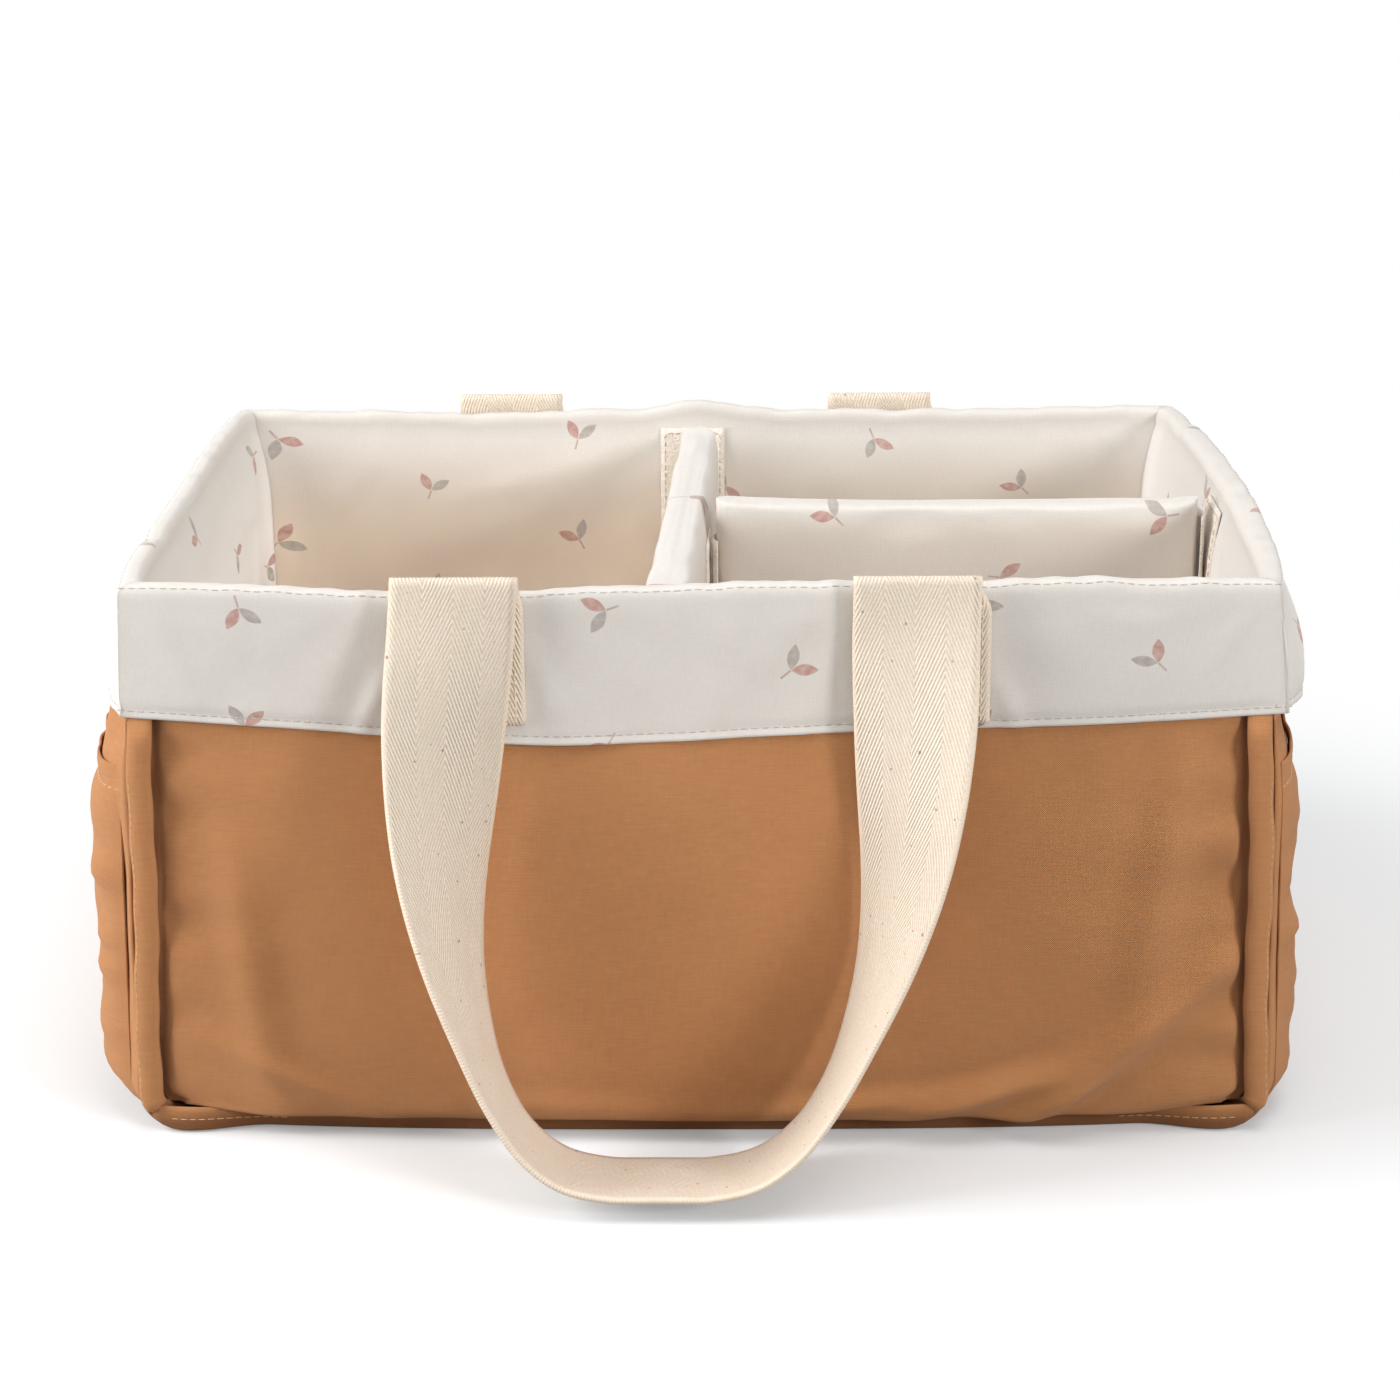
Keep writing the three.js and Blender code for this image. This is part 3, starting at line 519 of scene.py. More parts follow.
# Lining and cuff: off-white printed cotton, one length of cloth on each side. It lines the wall,
# rolls over the padded rim and hangs outside as a deep cuff with a sewn hem; the four lengths
# meet in a seam at each corner.
MOTIF_WIDTH, MOTIF_HEIGHT = 0.058, 0.044
LEAF_LENGTH, LEAF_WIDTH, LEAF_SPREAD = 0.0045, 0.0021, math.radians(40)
STEM_LENGTH, STEM_WIDTH = 0.0042, 0.0005
COTTON_YARN, PRINT_EDGE = 0.0005, 0.0003
cotton, dye, shader = new_material("printed_cotton", sheen=0.12)
place, u, v = cloth_axes(dye)
column = (u / MOTIF_WIDTH).floor()
step = v / MOTIF_HEIGHT + (column * 0.5).fraction()
cell = dye.node("ShaderNodeCombineXYZ", {}, {0: column, 1: step.floor()})
luck = dye.node("ShaderNodeTexWhiteNoise", {"noise_dimensions": "2D"}, {"Vector": cell})
turn = luck * math.tau
across = ((u / MOTIF_WIDTH).fraction() - 0.5) * MOTIF_WIDTH
upward = (step.fraction() - 0.5) * MOTIF_HEIGHT
side_way = across * turn.cosine() + upward * turn.sine()
stem_way = upward * turn.cosine() - across * turn.sine()
leaves = []
for tilt in (LEAF_SPREAD, -LEAF_SPREAD):
    over = side_way * math.cos(tilt) - stem_way * math.sin(tilt)
    out = stem_way * math.cos(tilt) + side_way * math.sin(tilt)
    part = (out - LEAF_LENGTH) / LEAF_LENGTH
    rim = LEAF_WIDTH * (1 - part * part) - abs(over)
    leaves.append(rim.ramp(0, PRINT_EDGE))
stem_end = (stem_way + STEM_LENGTH / 2) / (STEM_LENGTH / 2)
stem = (STEM_WIDTH - abs(side_way)).ramp(0, PRINT_EDGE) * (1 - abs(stem_end)).ramp(0, 0.1)
wash = place.noise((420, 420, 1), 3).ramp(0.2, 0.75) * 0.45 + 0.55
weave = woven(u, v, COTTON_YARN, COTTON_YARN)
slub = place.noise((220, 2300, 1)) + place.noise((2300, 220, 1))
ground = (slub * 0.5 + weave * 0.1).ramp(0.1, 0.9).mix(srgb(220, 214, 207), srgb(229, 224, 217))
# Painted light and shade inside the box: below the rim the lining is painted by its depth, on the end
# walls a near white as painted light, on the front and back walls, the floor and the dividers a warmer
# peach as painted shade and warm bounce light.
depth = dye.node("ShaderNodeAttribute", {"attribute_name": "depth"}, {}, 2)
painted_bounce_share = dye.node("ShaderNodeAttribute", {"attribute_name": "painted_bounce_share"}, {}, 2)
deep = depth.ramp(0.015, 0.09).mix(srgb(226, 211, 194), srgb(247, 228, 208))
painted_inner_light = painted_bounce_share.mix(srgb(252, 248, 243), deep)
ground = depth.ramp(0.002, 0.05).mix(ground, painted_inner_light)
colour = (leaves[0] * wash).mix(ground, srgb(193, 146, 135))
colour = (leaves[1] * wash).mix(colour, srgb(177, 168, 160))
colour = (stem * wash).mix(colour, srgb(190, 160, 150))
finish_material(dye, shader, colour, 0.92 - slub * 0.05, weave * 0.4 + slub * 0.6, 0.00012)


def plain_thread(name, *colours):
    return speckled(name, (2600, 2600, 2600), 1, colours, 0.8, 0.1, 0.0002, sheen=0.1)


grey_thread = plain_thread("grey_thread", (168, 161, 155), (206, 200, 194))
running_stitch = bpy.data.node_groups.new("running_stitch", "GeometryNodeTree")
STITCH_INPUTS = {
    "Route": "NodeSocketGeometry", "Pitch": "NodeSocketFloat", "Stitch": "NodeSocketVector",
    "Thread": "NodeSocketMaterial",
}
stitch_keys = {}
for socket_name, kind in STITCH_INPUTS.items():
    made = running_stitch.interface.new_socket(socket_name, in_out="INPUT", socket_type=kind)
    stitch_keys[socket_name] = made.identifier
running_stitch.interface.new_socket("Stitches", in_out="OUTPUT", socket_type="NodeSocketGeometry")
given = running_stitch.nodes.new("NodeGroupInput").outputs
done = running_stitch.nodes.new("NodeGroupOutput").inputs
needle = Dye(running_stitch)
route, pitch, stitch, thread = (Dye(running_stitch, given[socket_name]) for socket_name in STITCH_INPUTS)
curve = needle.node("GeometryNodeMeshToCurve", {}, {"Mesh": route})
spaced = needle.node("GeometryNodeResampleCurve", {"mode": "LENGTH"}, {"Curve": curve, "Length": pitch})
bead = needle.node("GeometryNodeMeshIcoSphere", {}, {"Radius": 0.5, "Subdivisions": 2})
shaped = needle.node("GeometryNodeTransform", {}, {"Geometry": bead, "Scale": stitch})
heading = needle.node("GeometryNodeInputTangent")
aimed = needle.node("FunctionNodeAlignRotationToVector", {"axis": "X"}, {"Vector": heading})
sown_sockets = {"Points": spaced, "Instance": shaped, "Rotation": aimed}
sown = needle.node("GeometryNodeInstanceOnPoints", {}, sown_sockets)
realized = needle.node("GeometryNodeRealizeInstances", {}, {"Geometry": sown})
dyed = needle.node("GeometryNodeSetMaterial", {}, {"Geometry": realized, "Material": thread})
needle.feed(done["Stitches"], dyed)


def sew(name, routes, thread, slot, pitch, length, thickness):
    starts = set(np.cumsum([len(line) for line in routes]).tolist())
    vertices = np.concatenate(routes)
    edges = [(i - 1, i) for i in range(1, len(vertices)) if i not in starts]
    mesh = bpy.data.meshes.new(name)
    mesh.from_pydata(vertices.tolist(), edges, [])
    seam = bpy.data.objects.new(name, mesh)
    scene.collection.objects.link(seam)
    stitches = seam.modifiers.new("stitches", "NODES")
    stitches.node_group = running_stitch
    stitches[stitch_keys["Pitch"]] = pitch
    stitches[stitch_keys["Stitch"]] = (length, thickness, thickness)
    stitches[stitch_keys["Thread"]] = thread
    evaluated = seam.evaluated_get(bpy.context.evaluated_depsgraph_get())
    sewn = bpy.data.meshes.new_from_object(evaluated)
    seam.modifiers.clear()
    seam.data = sewn
    sewn.shade_smooth()
    return sit(seam, "caddy", slot)


# Stores the depth below the rim and the share of warm bounce light that the printed cotton uses for its
# painted light and shade inside the box.
def paint_inner_light(piece, depth, bounce_share):
    values = np.maximum(depth, 0).ravel()
    piece.data.attributes.new("depth", "FLOAT", "POINT").data.foreach_set("value", values)
    piece.data.attributes.new("painted_bounce_share", "FLOAT", "POINT").data.foreach_set("value", 0 * values + bounce_share)


FLOOR_FOOT, FLOOR_TOP, FLOOR_TUCK = 0.0079, 0.0087, 0.0012
END_CUFF_FLARE, CUFF_SLACK = {"left": 0.007, "right": 0.0075}, 0.0005
CORNER_FLARE = {"left": 0.0006, "right": 0.0030}
HEM_RISE_AT_CORNER, HEM_SAG = 0.003, 0.0015
HEM_WAVES = {
    "front": (-0.045, 0.070, -0.0045), "back": (0.050, 0.070, -0.0030),
    "left": (0.020, 0.050, -0.0010), "right": (-0.030, 0.050, -0.0010),
}
HEM_STITCH, RIM_STITCH_TURN, RIM_SQUARENESS = 0.0026, 2.35, 0.6
RIM_WAVES = {
    "front": [(-0.078, 0.050, -0.0030), (0.125, 0.050, 0.0010), (0.040, 0.030, 0.0006)],
    "back": [(-0.090, 0.060, -0.0022), (0.085, 0.070, -0.0016), (-0.004, 0.014, 0.0026)],
    "left": [(-0.020, 0.060, -0.0012), (0.070, 0.030, 0.0008)],
    "right": [(0.010, 0.060, 0.0010), (-0.060, 0.030, -0.0010)],
}
CUFF_CREASES = {
    "front": [
        (-0.104, 0.150, 68, 0.014, 0.004, 0.0012), (-0.050, 0.160, 110, 0.020, 0.006, 0.0009),
        (0.040, 0.158, 70, 0.020, 0.006, 0.0008), (0.096, 0.152, 112, 0.016, 0.005, 0.0010),
        (0.168, 0.170, 60, 0.016, 0.005, 0.0008), (-0.168, 0.165, 118, 0.016, 0.005, 0.0008),
    ],
    "back": [
        (-0.110, 0.155, 65, 0.018, 0.005, 0.0010), (0.105, 0.150, 115, 0.018, 0.005, 0.0010),
        (0.010, 0.160, 88, 0.020, 0.006, 0.0008),
    ],
    "left": [(-0.085, 0.160, 60, 0.020, 0.006, 0.0012), (0.060, 0.158, 118, 0.022, 0.006, 0.0011)],
    "right": [(-0.090, 0.160, 62, 0.020, 0.006, 0.0012), (0.075, 0.156, 115, 0.020, 0.006, 0.0011)],
}
LINING_CREASES = {
    "front": [(-0.09, 0.10, 20, 0.05, 0.008, 0.0008), (0.09, 0.08, 160, 0.05, 0.008, 0.0008)],
    "back": [(-0.150, 0.145, 55, 0.030, 0.006, 0.0012), (-0.060, 0.165, 15, 0.040, 0.006, 0.0006)],
    "left": [(0.080, 0.120, 75, 0.040, 0.007, 0.0012), (-0.050, 0.150, 30, 0.030, 0.006, 0.0009)],
    "right": [(0.080, 0.130, 100, 0.040, 0.007, 0.0010), (-0.070, 0.120, 70, 0.040, 0.007, 0.0010)],
}
CUFF_RIPPLES = ((0.0014, 0.040, 4), (0.0006, 0.016, 9))
FLOOR_RIPPLES = ((0.0004, 0.05, 21),)
RIM_RIPPLES = ((0.0011, 0.009, 50), (0.0010, 0.025, 60))
HEM_GROOVE, HEM_GROOVE_WIDTH = 0.0004, 0.0011
CORNER_START, PRINT_SHIFT = 0.93, (0.137, 0.021)
INSIDE_ROWS, ROLL_ROWS, DROP_ROWS, HEM_ROWS, HEM_START = 46, 23, 20, 6, 0.9
END_CUFF_COLUMNS, LONG_CUFF_COLUMNS, FLOOR_COLUMNS, FLOOR_ROWS = 111, 161, 121, 81
inside_z = np.linspace(FLOOR_FOOT, WALL_TOP, INSIDE_ROWS)
roll = np.linspace(0, math.pi, ROLL_ROWS)[1:-1]
drop = np.concatenate([np.linspace(0, HEM_START, DROP_ROWS), np.linspace(HEM_START, 1, HEM_ROWS)[1:]])
hung = 0 * drop
rim_middle, rim_half = (RIM_RIDGE + CUFF_FACE) / 2, (RIM_RIDGE - CUFF_FACE) / 2
roll_out = rim_half * np.sign(np.cos(roll)) * np.abs(np.cos(roll)) ** RIM_SQUARENESS
roll_up = RIM_ROUND * np.sin(roll) ** RIM_SQUARENESS
roll_lean = (LINING_IN - RIM_RIDGE) * (1 + roll_out / rim_half) / 2
row_inset, upright, row_lean, fall, row_z = (np.concatenate(parts)[:, None] for parts in (
    (LINING_IN - rim_lean(inside_z), rim_middle + roll_out, hung + CUFF_FACE),
    (np.ones(INSIDE_ROWS), 1 - roll / math.pi, hung),
    (rim_lean(inside_z), roll_lean, hung),
    (0 * inside_z, 0 * roll, drop),
    (inside_z, WALL_TOP + roll_up, hung + WALL_TOP),
))
swing = np.sin(math.pi / 2 * fall)
outside = fall > 0
hem_routes, rim_routes = [], []
for number, (side, (end_wall, sign)) in enumerate(SIDES.items()):
    share = crowded(END_CUFF_COLUMNS if end_wall else LONG_CUFF_COLUMNS, 0.2)
    inset = row_inset + RIM_FULLNESS[side] * (1 - share ** 4) * row_lean
    lowest, spread, sag = HEM_WAVES[side]
    rough = share * (RIM_DEPTH if end_wall else RIM_LENGTH) / 2
    hem = HEM + HEM_RISE_AT_CORNER * share ** 4 - HEM_SAG * (1 - share ** 2)
    hem = hem + sag * nearness(rough, lowest, spread) * (1 - share ** 4)
    z = row_z + fall * (hem - WALL_TOP)
    end_flare = np.where(share > 0, CORNER_FLARE["right"], CORNER_FLARE["left"])
    if end_wall:
        end_flare = CORNER_FLARE[side]
    corner_x = half_length(z, inset, upright) + end_flare * swing
    corner_y = half_depth(z, inset, upright)
    along = share * (corner_y if end_wall else corner_x)
    points = wall(side, along, inset, z, upright)
    free = 1 - share ** 8
    out = np.where(outside, 1.0, np.where(upright == 1, -1.0, np.cos(math.pi * upright)))
    cloth = rippled(points, CUFF_RIPPLES, number)
    creased = [folds(along, z, creases[side]) for creases in (CUFF_CREASES, LINING_CREASES)]
    cloth = cloth + np.where(outside, *creased)
    cloth = cloth * np.clip(np.maximum(fall * 6, (upright == 1) * (WALL_TOP - z) / 0.02), 0.25, 1)
    cloth = np.where(outside, np.maximum(cloth, CUFF_SLACK * np.tanh(cloth / CUFF_SLACK)), cloth)
    groove = nearness(z - hem, HEM_STITCH, HEM_GROOVE_WIDTH) * outside * HEM_GROOVE
    flare = (END_CUFF_FLARE[side] * (1 - share ** 16) + end_flare) * swing if end_wall else 0
    points[..., 0 if end_wall else 1] += sign * (free * (out * cloth + flare) - groove)
    waves = sum(height * nearness(along, middle, width) for middle, width, height in RIM_WAVES[side])
    waves = waves + rippled(stacked(along[:1], 0.0, 0.0), RIM_RIPPLES, number)
    points[..., 2] += waves * free * smooth_step(HEM, WALL_TOP, z)
    near = smooth_step(CORNER_START, 1, np.abs(share))[..., None]
    x_side, y_side = (sign, np.sign(share)) if end_wall else (np.sign(share), sign)
    points = points * (1 - near) + stacked(x_side * corner_x, y_side * corner_y, z) * near
    middle = points.shape[1] // 2
    arc = run_of(points[:, middle])
    uv = stacked(along + PRINT_SHIFT[0] * number, (arc[-1] - arc)[:, None] + PRINT_SHIFT[1] * number)
    cuff = cloth_grid(f"{side}_lining_and_cuff", points, uv, cotton, CLOTH, flip=(sign < 0) != end_wall)
    sit(cuff, "caddy", "printed_cotton", f"{side}_lining", f"{side}_cuff")
    # Painted light and shade on the lining's inside faces, by depth below the rim; the end walls get the
    # pale painted light, the front and back the warm painted bounce light and shade.
    paint_inner_light(cuff, np.where(out < 0, RIM_HEIGHT - points[..., 2], 0), 0 if end_wall else 1)
    off_hem = np.abs(points[:, middle, 2] - hem[0, middle] - HEM_STITCH) + (fall[:, 0] == 0)
    hem_routes.append(points[np.argmin(off_hem), 2:-2])
    rim_row = INSIDE_ROWS + np.argmin(np.abs(roll - RIM_STITCH_TURN))
    rim_routes.append(points[rim_row, 2:-2])
sew("cuff_hem_stitches", hem_routes, grey_thread, "printed_cotton", 0.0033, 0.0027, 0.00045)
sew("rim_stitches", rim_routes, grey_thread, "printed_cotton", 0.0033, 0.0026, 0.0004)
share_x = np.linspace(-1, 1, FLOOR_COLUMNS)[None, :]
share_y = np.linspace(-1, 1, FLOOR_ROWS)[:, None]
end_reach = half_length(FLOOR_TOP, LINING_IN - FLOOR_TUCK, 1)
side_reach = half_depth(FLOOR_TOP, LINING_IN - FLOOR_TUCK, 1)
left_bow, right_bow = (end_swell(sign, share_y * side_reach, FLOOR_TOP, 1) for sign in (-1, 1))
x = share_x * (end_reach + np.where(share_x > 0, right_bow, left_bow))
y = share_y * (side_reach + long_swell(share_x * end_reach, FLOOR_TOP, 1))
points = stacked(x, y, FLOOR_TOP)
points[..., 2] += rippled(points, FLOOR_RIPPLES)
floor_cloth = cloth_grid("floor_cloth", points, stacked(x + 0.5, y + 0.5), cotton, CLOTH)
# The floor cloth lies deep, so it takes the full warm painted bounce light and shade.
paint_inner_light(floor_cloth, RIM_HEIGHT - points[..., 2], 1)
sit(floor_cloth, "caddy", "printed_cotton", "floor_lining")

# Piping: a folded, rounded band of canvas, sewn in down each upright corner. It goes up under
# the cuff, and at the base it curls in and is tucked under the corner.
PIPING_WIDTH, PIPING_THICKNESS, PIPING_EDGE, PIPING_TUCK = 0.008, 0.0052, 0.0006, 0.0075
PIPING_ROWS, PIPING_CURL_ROWS, PIPING_SIDES = 56, 15, 24
PIPING_SEAM_TURN, PIPING_SEAM_ROWS, LIP_SEAM, LIP_SEAM_LEVEL = 0.9, slice(12, -3), (0.034, 0.002), 0.55
tan_thread = plain_thread("tan_thread", (186, 144, 98), (222, 186, 138))


def tube(name, rings, material):
    around = np.concatenate([rings, rings[:, :1]], 1)
    girth = np.linspace(0, run_of(around[0])[-1], around.shape[1])
    piece = cloth_grid(name, around, stacked(girth, run_of(rings.mean(1))[:, None]), material)
    mend(piece.data, close=True)
    return piece


piping_routes = []
for wall_side in ("front", "back"):
    for end in ("left", "right"):
        x_sign, y_sign = SIDES[end][1], SIDES[wall_side][1]
        middle = PIPING_EDGE + PIPING_WIDTH / 2
        radius = BASE_RADIUS - middle
        high = np.linspace(HEM + 0.010, BASE_RADIUS, PIPING_ROWS)
        turn = np.linspace(0, math.pi / 2, PIPING_CURL_ROWS)[1:]
        z = np.concatenate([high, BASE_RADIUS - radius * np.sin(turn)])[:, None]
        x = np.concatenate([half_length(high, middle), base_centre + radius * np.cos(turn)])[:, None]
        curl = np.concatenate([0 * high, turn])[:, None]
        tucked = smooth_step(HEM - 0.004, HEM + 0.003, z)
        taper = smooth_step(0.25, 0.8, curl / (math.pi / 2))
        girth = np.linspace(0, math.tau, PIPING_SIDES + 1)[:-1]
        wide = np.sign(np.cos(girth)) * np.abs(np.cos(girth)) ** 0.85 * PIPING_WIDTH / 2
        wide = wide * (1 - 0.6 * taper)
        thick = np.sin(girth) * PIPING_THICKNESS / 2 * (1 - 0.92 * tucked - 0.5 * taper)
        out = half_depth(z, 0) + long_swell(x - PIPING_WIDTH / 2, z)
        out = out + (PIPING_THICKNESS / 2 - CANVAS) * (1 - tucked) - PIPING_TUCK * taper
        wave = 0.0005 * np.sin(z / 0.014 + x_sign) + 0.0002 * np.sin(z / 0.0037 + y_sign)
        x = x_sign * (x + wide * np.cos(curl) + wave)
        rings = stacked(x, y_sign * (out + thick), z - wide * np.sin(curl))
        piping = tube(f"{wall_side}_{end}_cord_piping", rings, canvas)
        sit(piping, "caddy", "canvas", f"{wall_side}_{end}_piping")
        piping_routes.append(rings[PIPING_SEAM_ROWS, np.argmin(np.abs(girth - PIPING_SEAM_TURN))])
for y_sign in (-1, 1):
    for x_sign in (-1, 1):
        x = x_sign * np.linspace(base_centre - LIP_SEAM[0], base_centre + LIP_SEAM[1], 12)
        piping_routes.append(stacked(x, y_sign * lip_depth(x), lip_top(x) * LIP_SEAM_LEVEL))
sew("piping_stitches", piping_routes, tan_thread, "canvas", 0.0030, 0.0025, 0.0004)

# Pockets: a wide piece of the canvas sewn round three sides on each end and gathered at the
# top by a narrow elastic, which runs in a casing sewn along the mouth.
POCKET_FOOT, POCKET_HEIGHT, POCKET_REACH = 0.006, 0.121, 0.1200
POCKET_BULGE = {"left": 0.0085, "right": 0.0030}
POCKET_MOUTH = {"left": 0.0078, "right": 0.0032}
CASING, POCKET_FULLNESS, TIED_WIDTH, TIED_DEPTH = 0.0085, 1.25, 0.035, 0.0016
ELASTIC_IN, ELASTIC_THICKNESS, ELASTIC_REACH, ELASTIC_TOP = 0.0016, 0.0006, 0.82, 0.985
POCKET_ROWS, CASING_ROWS, POCKET_COLUMNS, ELASTIC_ROWS, ELASTIC_COLUMNS = 56, 9, 141, 5, 121
GATHER, SAG, RUCHE = (0.0024, 0.011, 31), (0.0024, 0.024, 37), (0.0042, 0.0075, 43)
ELASTIC_RIBS = (0.0012, 0.0009)
casing_level = 1 - CASING / POCKET_HEIGHT


def pocket_surface(side, share, level, inward=0.0):
    sign = SIDES[side][1]
    rise = np.sin(math.pi / 2 * np.clip(level / 0.24, 0, 1)) ** 0.35
    ease = np.clip((level - 0.5) / 0.5, 0, 1) ** 2
    puff = rise * (POCKET_BULGE[side] * (1 - ease) + POCKET_MOUTH[side] * ease) * (1 - share ** 24)
    y, z = np.broadcast_arrays(share * POCKET_REACH, POCKET_FOOT + level * POCKET_HEIGHT)
    free = (1 - share ** 24) * smooth_step(0, 0.06, level)
    tied = nearness(level, casing_level, TIED_WIDTH)
    gather = rippled(stacked(0.0, y, z * 0.25), [GATHER], sign)
    gather = gather * smooth_step(0.25, 0.9, level) * (1 - share ** 6)
    sag = rippled(stacked(0.0, y * 0.35, z), [SAG], sign)
    ruche = rippled(stacked(0.0, y * 0.2, z), [RUCHE], sign)
    sag = sag + ruche * (0.12 + 0.88 * smooth_step(0.78, 0.96, np.abs(share)))
    soft = gather * (1 - 0.5 * tied) + sag * (1 - smooth_step(0.82, 0.93, level)) - TIED_DEPTH * tied
    out = CLEARANCE + CLOTH + puff + free * soft - inward
    points = wall(side, y, -np.maximum(out, 0.0006), z)
    points[..., 2] += 0.0010 * np.sin(y / 0.017 + sign) * smooth_step(0.9, 1, level) * (1 - share ** 4)
    return points


elastic, dye, shader = new_material("white_elastic")
place, u, v = cloth_axes(dye)
cross_rib, long_rib = ((way * (math.tau / pitch)).sine() for way, pitch in zip((v, u), ELASTIC_RIBS))
rib = cross_rib * 0.5 + long_rib * 0.3
colour = (rib * 0.5 + 0.5).mix(srgb(222, 218, 208), srgb(246, 243, 236))
finish_material(dye, shader, colour, 0.8 + rib * 0.05, rib, 0.0003)
pocket_routes = []
for side in ("left", "right"):
    sign = SIDES[side][1]
    share = crowded(POCKET_COLUMNS, 0.45)
    casing = np.linspace(casing_level, 1, CASING_ROWS)
    level = np.concatenate([np.linspace(0, casing_level, POCKET_ROWS), casing[1:]])[:, None]
    points = pocket_surface(side, share, level)
    uv = stacked(share * POCKET_REACH * POCKET_FULLNESS, POCKET_FOOT + level * POCKET_HEIGHT)
    pocket = cloth_grid(f"{side}_gathered_pocket", points, uv, canvas, CLOTH, flip=sign < 0)
    sit(pocket, "caddy", "canvas", f"{side}_pocket")
    pocket_routes.append(points[POCKET_ROWS - 1, 3:-3])
    level = np.linspace(casing_level + 0.01, ELASTIC_TOP, ELASTIC_ROWS)[:, None]
    share = np.linspace(-ELASTIC_REACH, ELASTIC_REACH, ELASTIC_COLUMNS)[None, :]
    points = pocket_surface(side, share, level, inward=ELASTIC_IN)
    uv = stacked(share * POCKET_REACH, level * POCKET_HEIGHT)
    band = cloth_grid(f"{side}_mouth_elastic", points, uv, elastic, ELASTIC_THICKNESS, flip=sign < 0)
    sit(band, "caddy", "elastic", f"{side}_pocket_elastic")
sew("pocket_stitches", pocket_routes, tan_thread, "canvas", 0.0033, 0.0026, 0.0006)

# Hook-and-loop strips: soft cream loop tape sewn up the front, back and right wall and on the
# cross divider, and narrow hook tape on the dividers' ends, which grips it.
nap, dye, shader = new_material("loop_tape", sheen=0.3)
body_place = body_axes(dye)
fuzz = body_place.noise((1400, 1400, 1400), 4)
clumps = body_place.noise((300, 300, 300), 2)
colour = (fuzz * 0.7 + clumps * 0.3).ramp(0.3, 0.7).mix(srgb(232, 219, 204), srgb(249, 241, 231))
finish_material(dye, shader, colour, 0.97 - fuzz * 0.05, fuzz + clumps, 0.0007)
SLANT, SLANT_OFFSET = 0.040, -0.0014
TAPE_TOP, TAPE_SEAM, TAPE_SEAM_COUNT, TAPE_ROLL = 0.1805, 0.0018, 30, 0.0018
END_TAPE_TOP, END_TAPE_SPREAD = TAPE_TOP - 0.003, 0.0015
TAPE_PILE, PILE_START, TAPE_ROWS = ((0.0003, 0.003, 41),), 0.001, 74
tape_thread = plain_thread("tape_thread", (190, 164, 138), (226, 203, 178))


def slanted(points):
    moved = points.copy()
    moved[..., 0] += SLANT_OFFSET + SLANT * moved[..., 1]
    return moved


def two_faces(thin, middle, half, along, z):
    faces = []
    for way in (1, -1):
        parts = [along, along, z]
        parts[thin] = middle + way * half
        faces.append(stacked(*parts))
    return faces


def tape(node, body, top=0.0, fullness=0.0, spread=0.0, shift=0.0, wrap=0.0):
    low, high = box_of(node)
    high[2] = max(high[2], top)
    thin = int(np.argmin((high - low)[:2]))
    wide = 1 - thin
    low[wide] -= spread
    high[wide] += spread
    z = np.linspace(low[2], high[2], TAPE_ROWS)[:, None]
    across = np.linspace(low[wide], high[wide], 13 if high[wide] - low[wide] > 0.02 else 7)[None, :]
    middle, half = (low[thin] + high[thin]) / 2 - shift, (high[thin] - low[thin]) / 2
    border = np.minimum(z - low[2], high[2] - z)
    border = np.minimum(border, np.minimum(across - low[wide], high[wide] - across))
    pile = rippled(stacked(across, 0.0, z), TAPE_PILE) * (border > PILE_START)
    thick = half * (1 - 0.6 * rolled_edge(border, TAPE_ROLL)) + pile
    centre = middle + wrap * (2 * (across - low[wide]) / (high[wide] - low[wide]) - 1) ** 2
    if body == "caddy":
        centre = centre + np.sign(middle) * rim_lean(z) * (1 - fullness)
    faces = two_faces(thin, centre, thick, across, z)
    if body == "cross_divider":
        faces = [slanted(points) for points in faces]
    strip = closed_pad(f"{node}_tape", *faces, nap)
    return sit(strip, body, "hook_and_loop", node)


tape_routes = []
for side, way in (("front", 1), ("back", -1), ("right", -1)):
    node = f"{side}_wall_strip"
    tape(node, "caddy", TAPE_TOP, RIM_FULLNESS[side])
    low, high = box_of(node)
    thin = int(np.argmin((high - low)[:2]))
    face = high[thin] if way > 0 else low[thin]
    near, far = low[1 - thin] + TAPE_SEAM, high[1 - thin] - TAPE_SEAM
    up = np.linspace(low[2] + TAPE_SEAM, TAPE_TOP - TAPE_SEAM, TAPE_SEAM_COUNT)
    z = np.concatenate([up, up[::-1], up[:1]])
    across = np.concatenate([0 * up + near, 0 * up + far, [near]])
    out = face + np.sign(face) * rim_lean(z) * (1 - RIM_FULLNESS[side])
    tape_routes.append(stacked(across, out, z) if thin else stacked(out, across, z))
sew("tape_stitches", tape_routes, tape_thread, "hook_and_loop", 0.0030, 0.0022, 0.0005)

# Dividers: sleeves of the printed cotton over foam, one across the box and one from it to the
# right wall. They are stuffed, so their faces swell and their edges pucker a little; both are
# held by the tapes on their ends and lift out.
DIVIDER_SWELL, DIVIDER_START, DIVIDER_SQUARENESS = 0.0016, 0.0010, 0.28
END_GAP, END_WRAP, STRIP_SEAT = 0.0002, 0.0015, 0.0010
INNER_REACH, PAINTED_SHADE_GAIN, PAINTED_SHADE_DEPTH, PAINTED_SHADE_START = 0.0021, 3.5, 0.023, 0.001
SWELL_STEPS, SWELL_PRESSURE, SWELL_STIFFNESS, SWELL_BENDING = 14, 4, 30, 2
DIVIDER_ROWS, DIVIDER_TOP_ROWS, DIVIDER_STEP, DIVIDER_PRINT = 40, 7, 0.0045, (0.31, 0.17)
DIVIDER_ROLL, LEAST_HALF, DIVIDER_UNEVEN = 0.004, 0.0006, 0.03


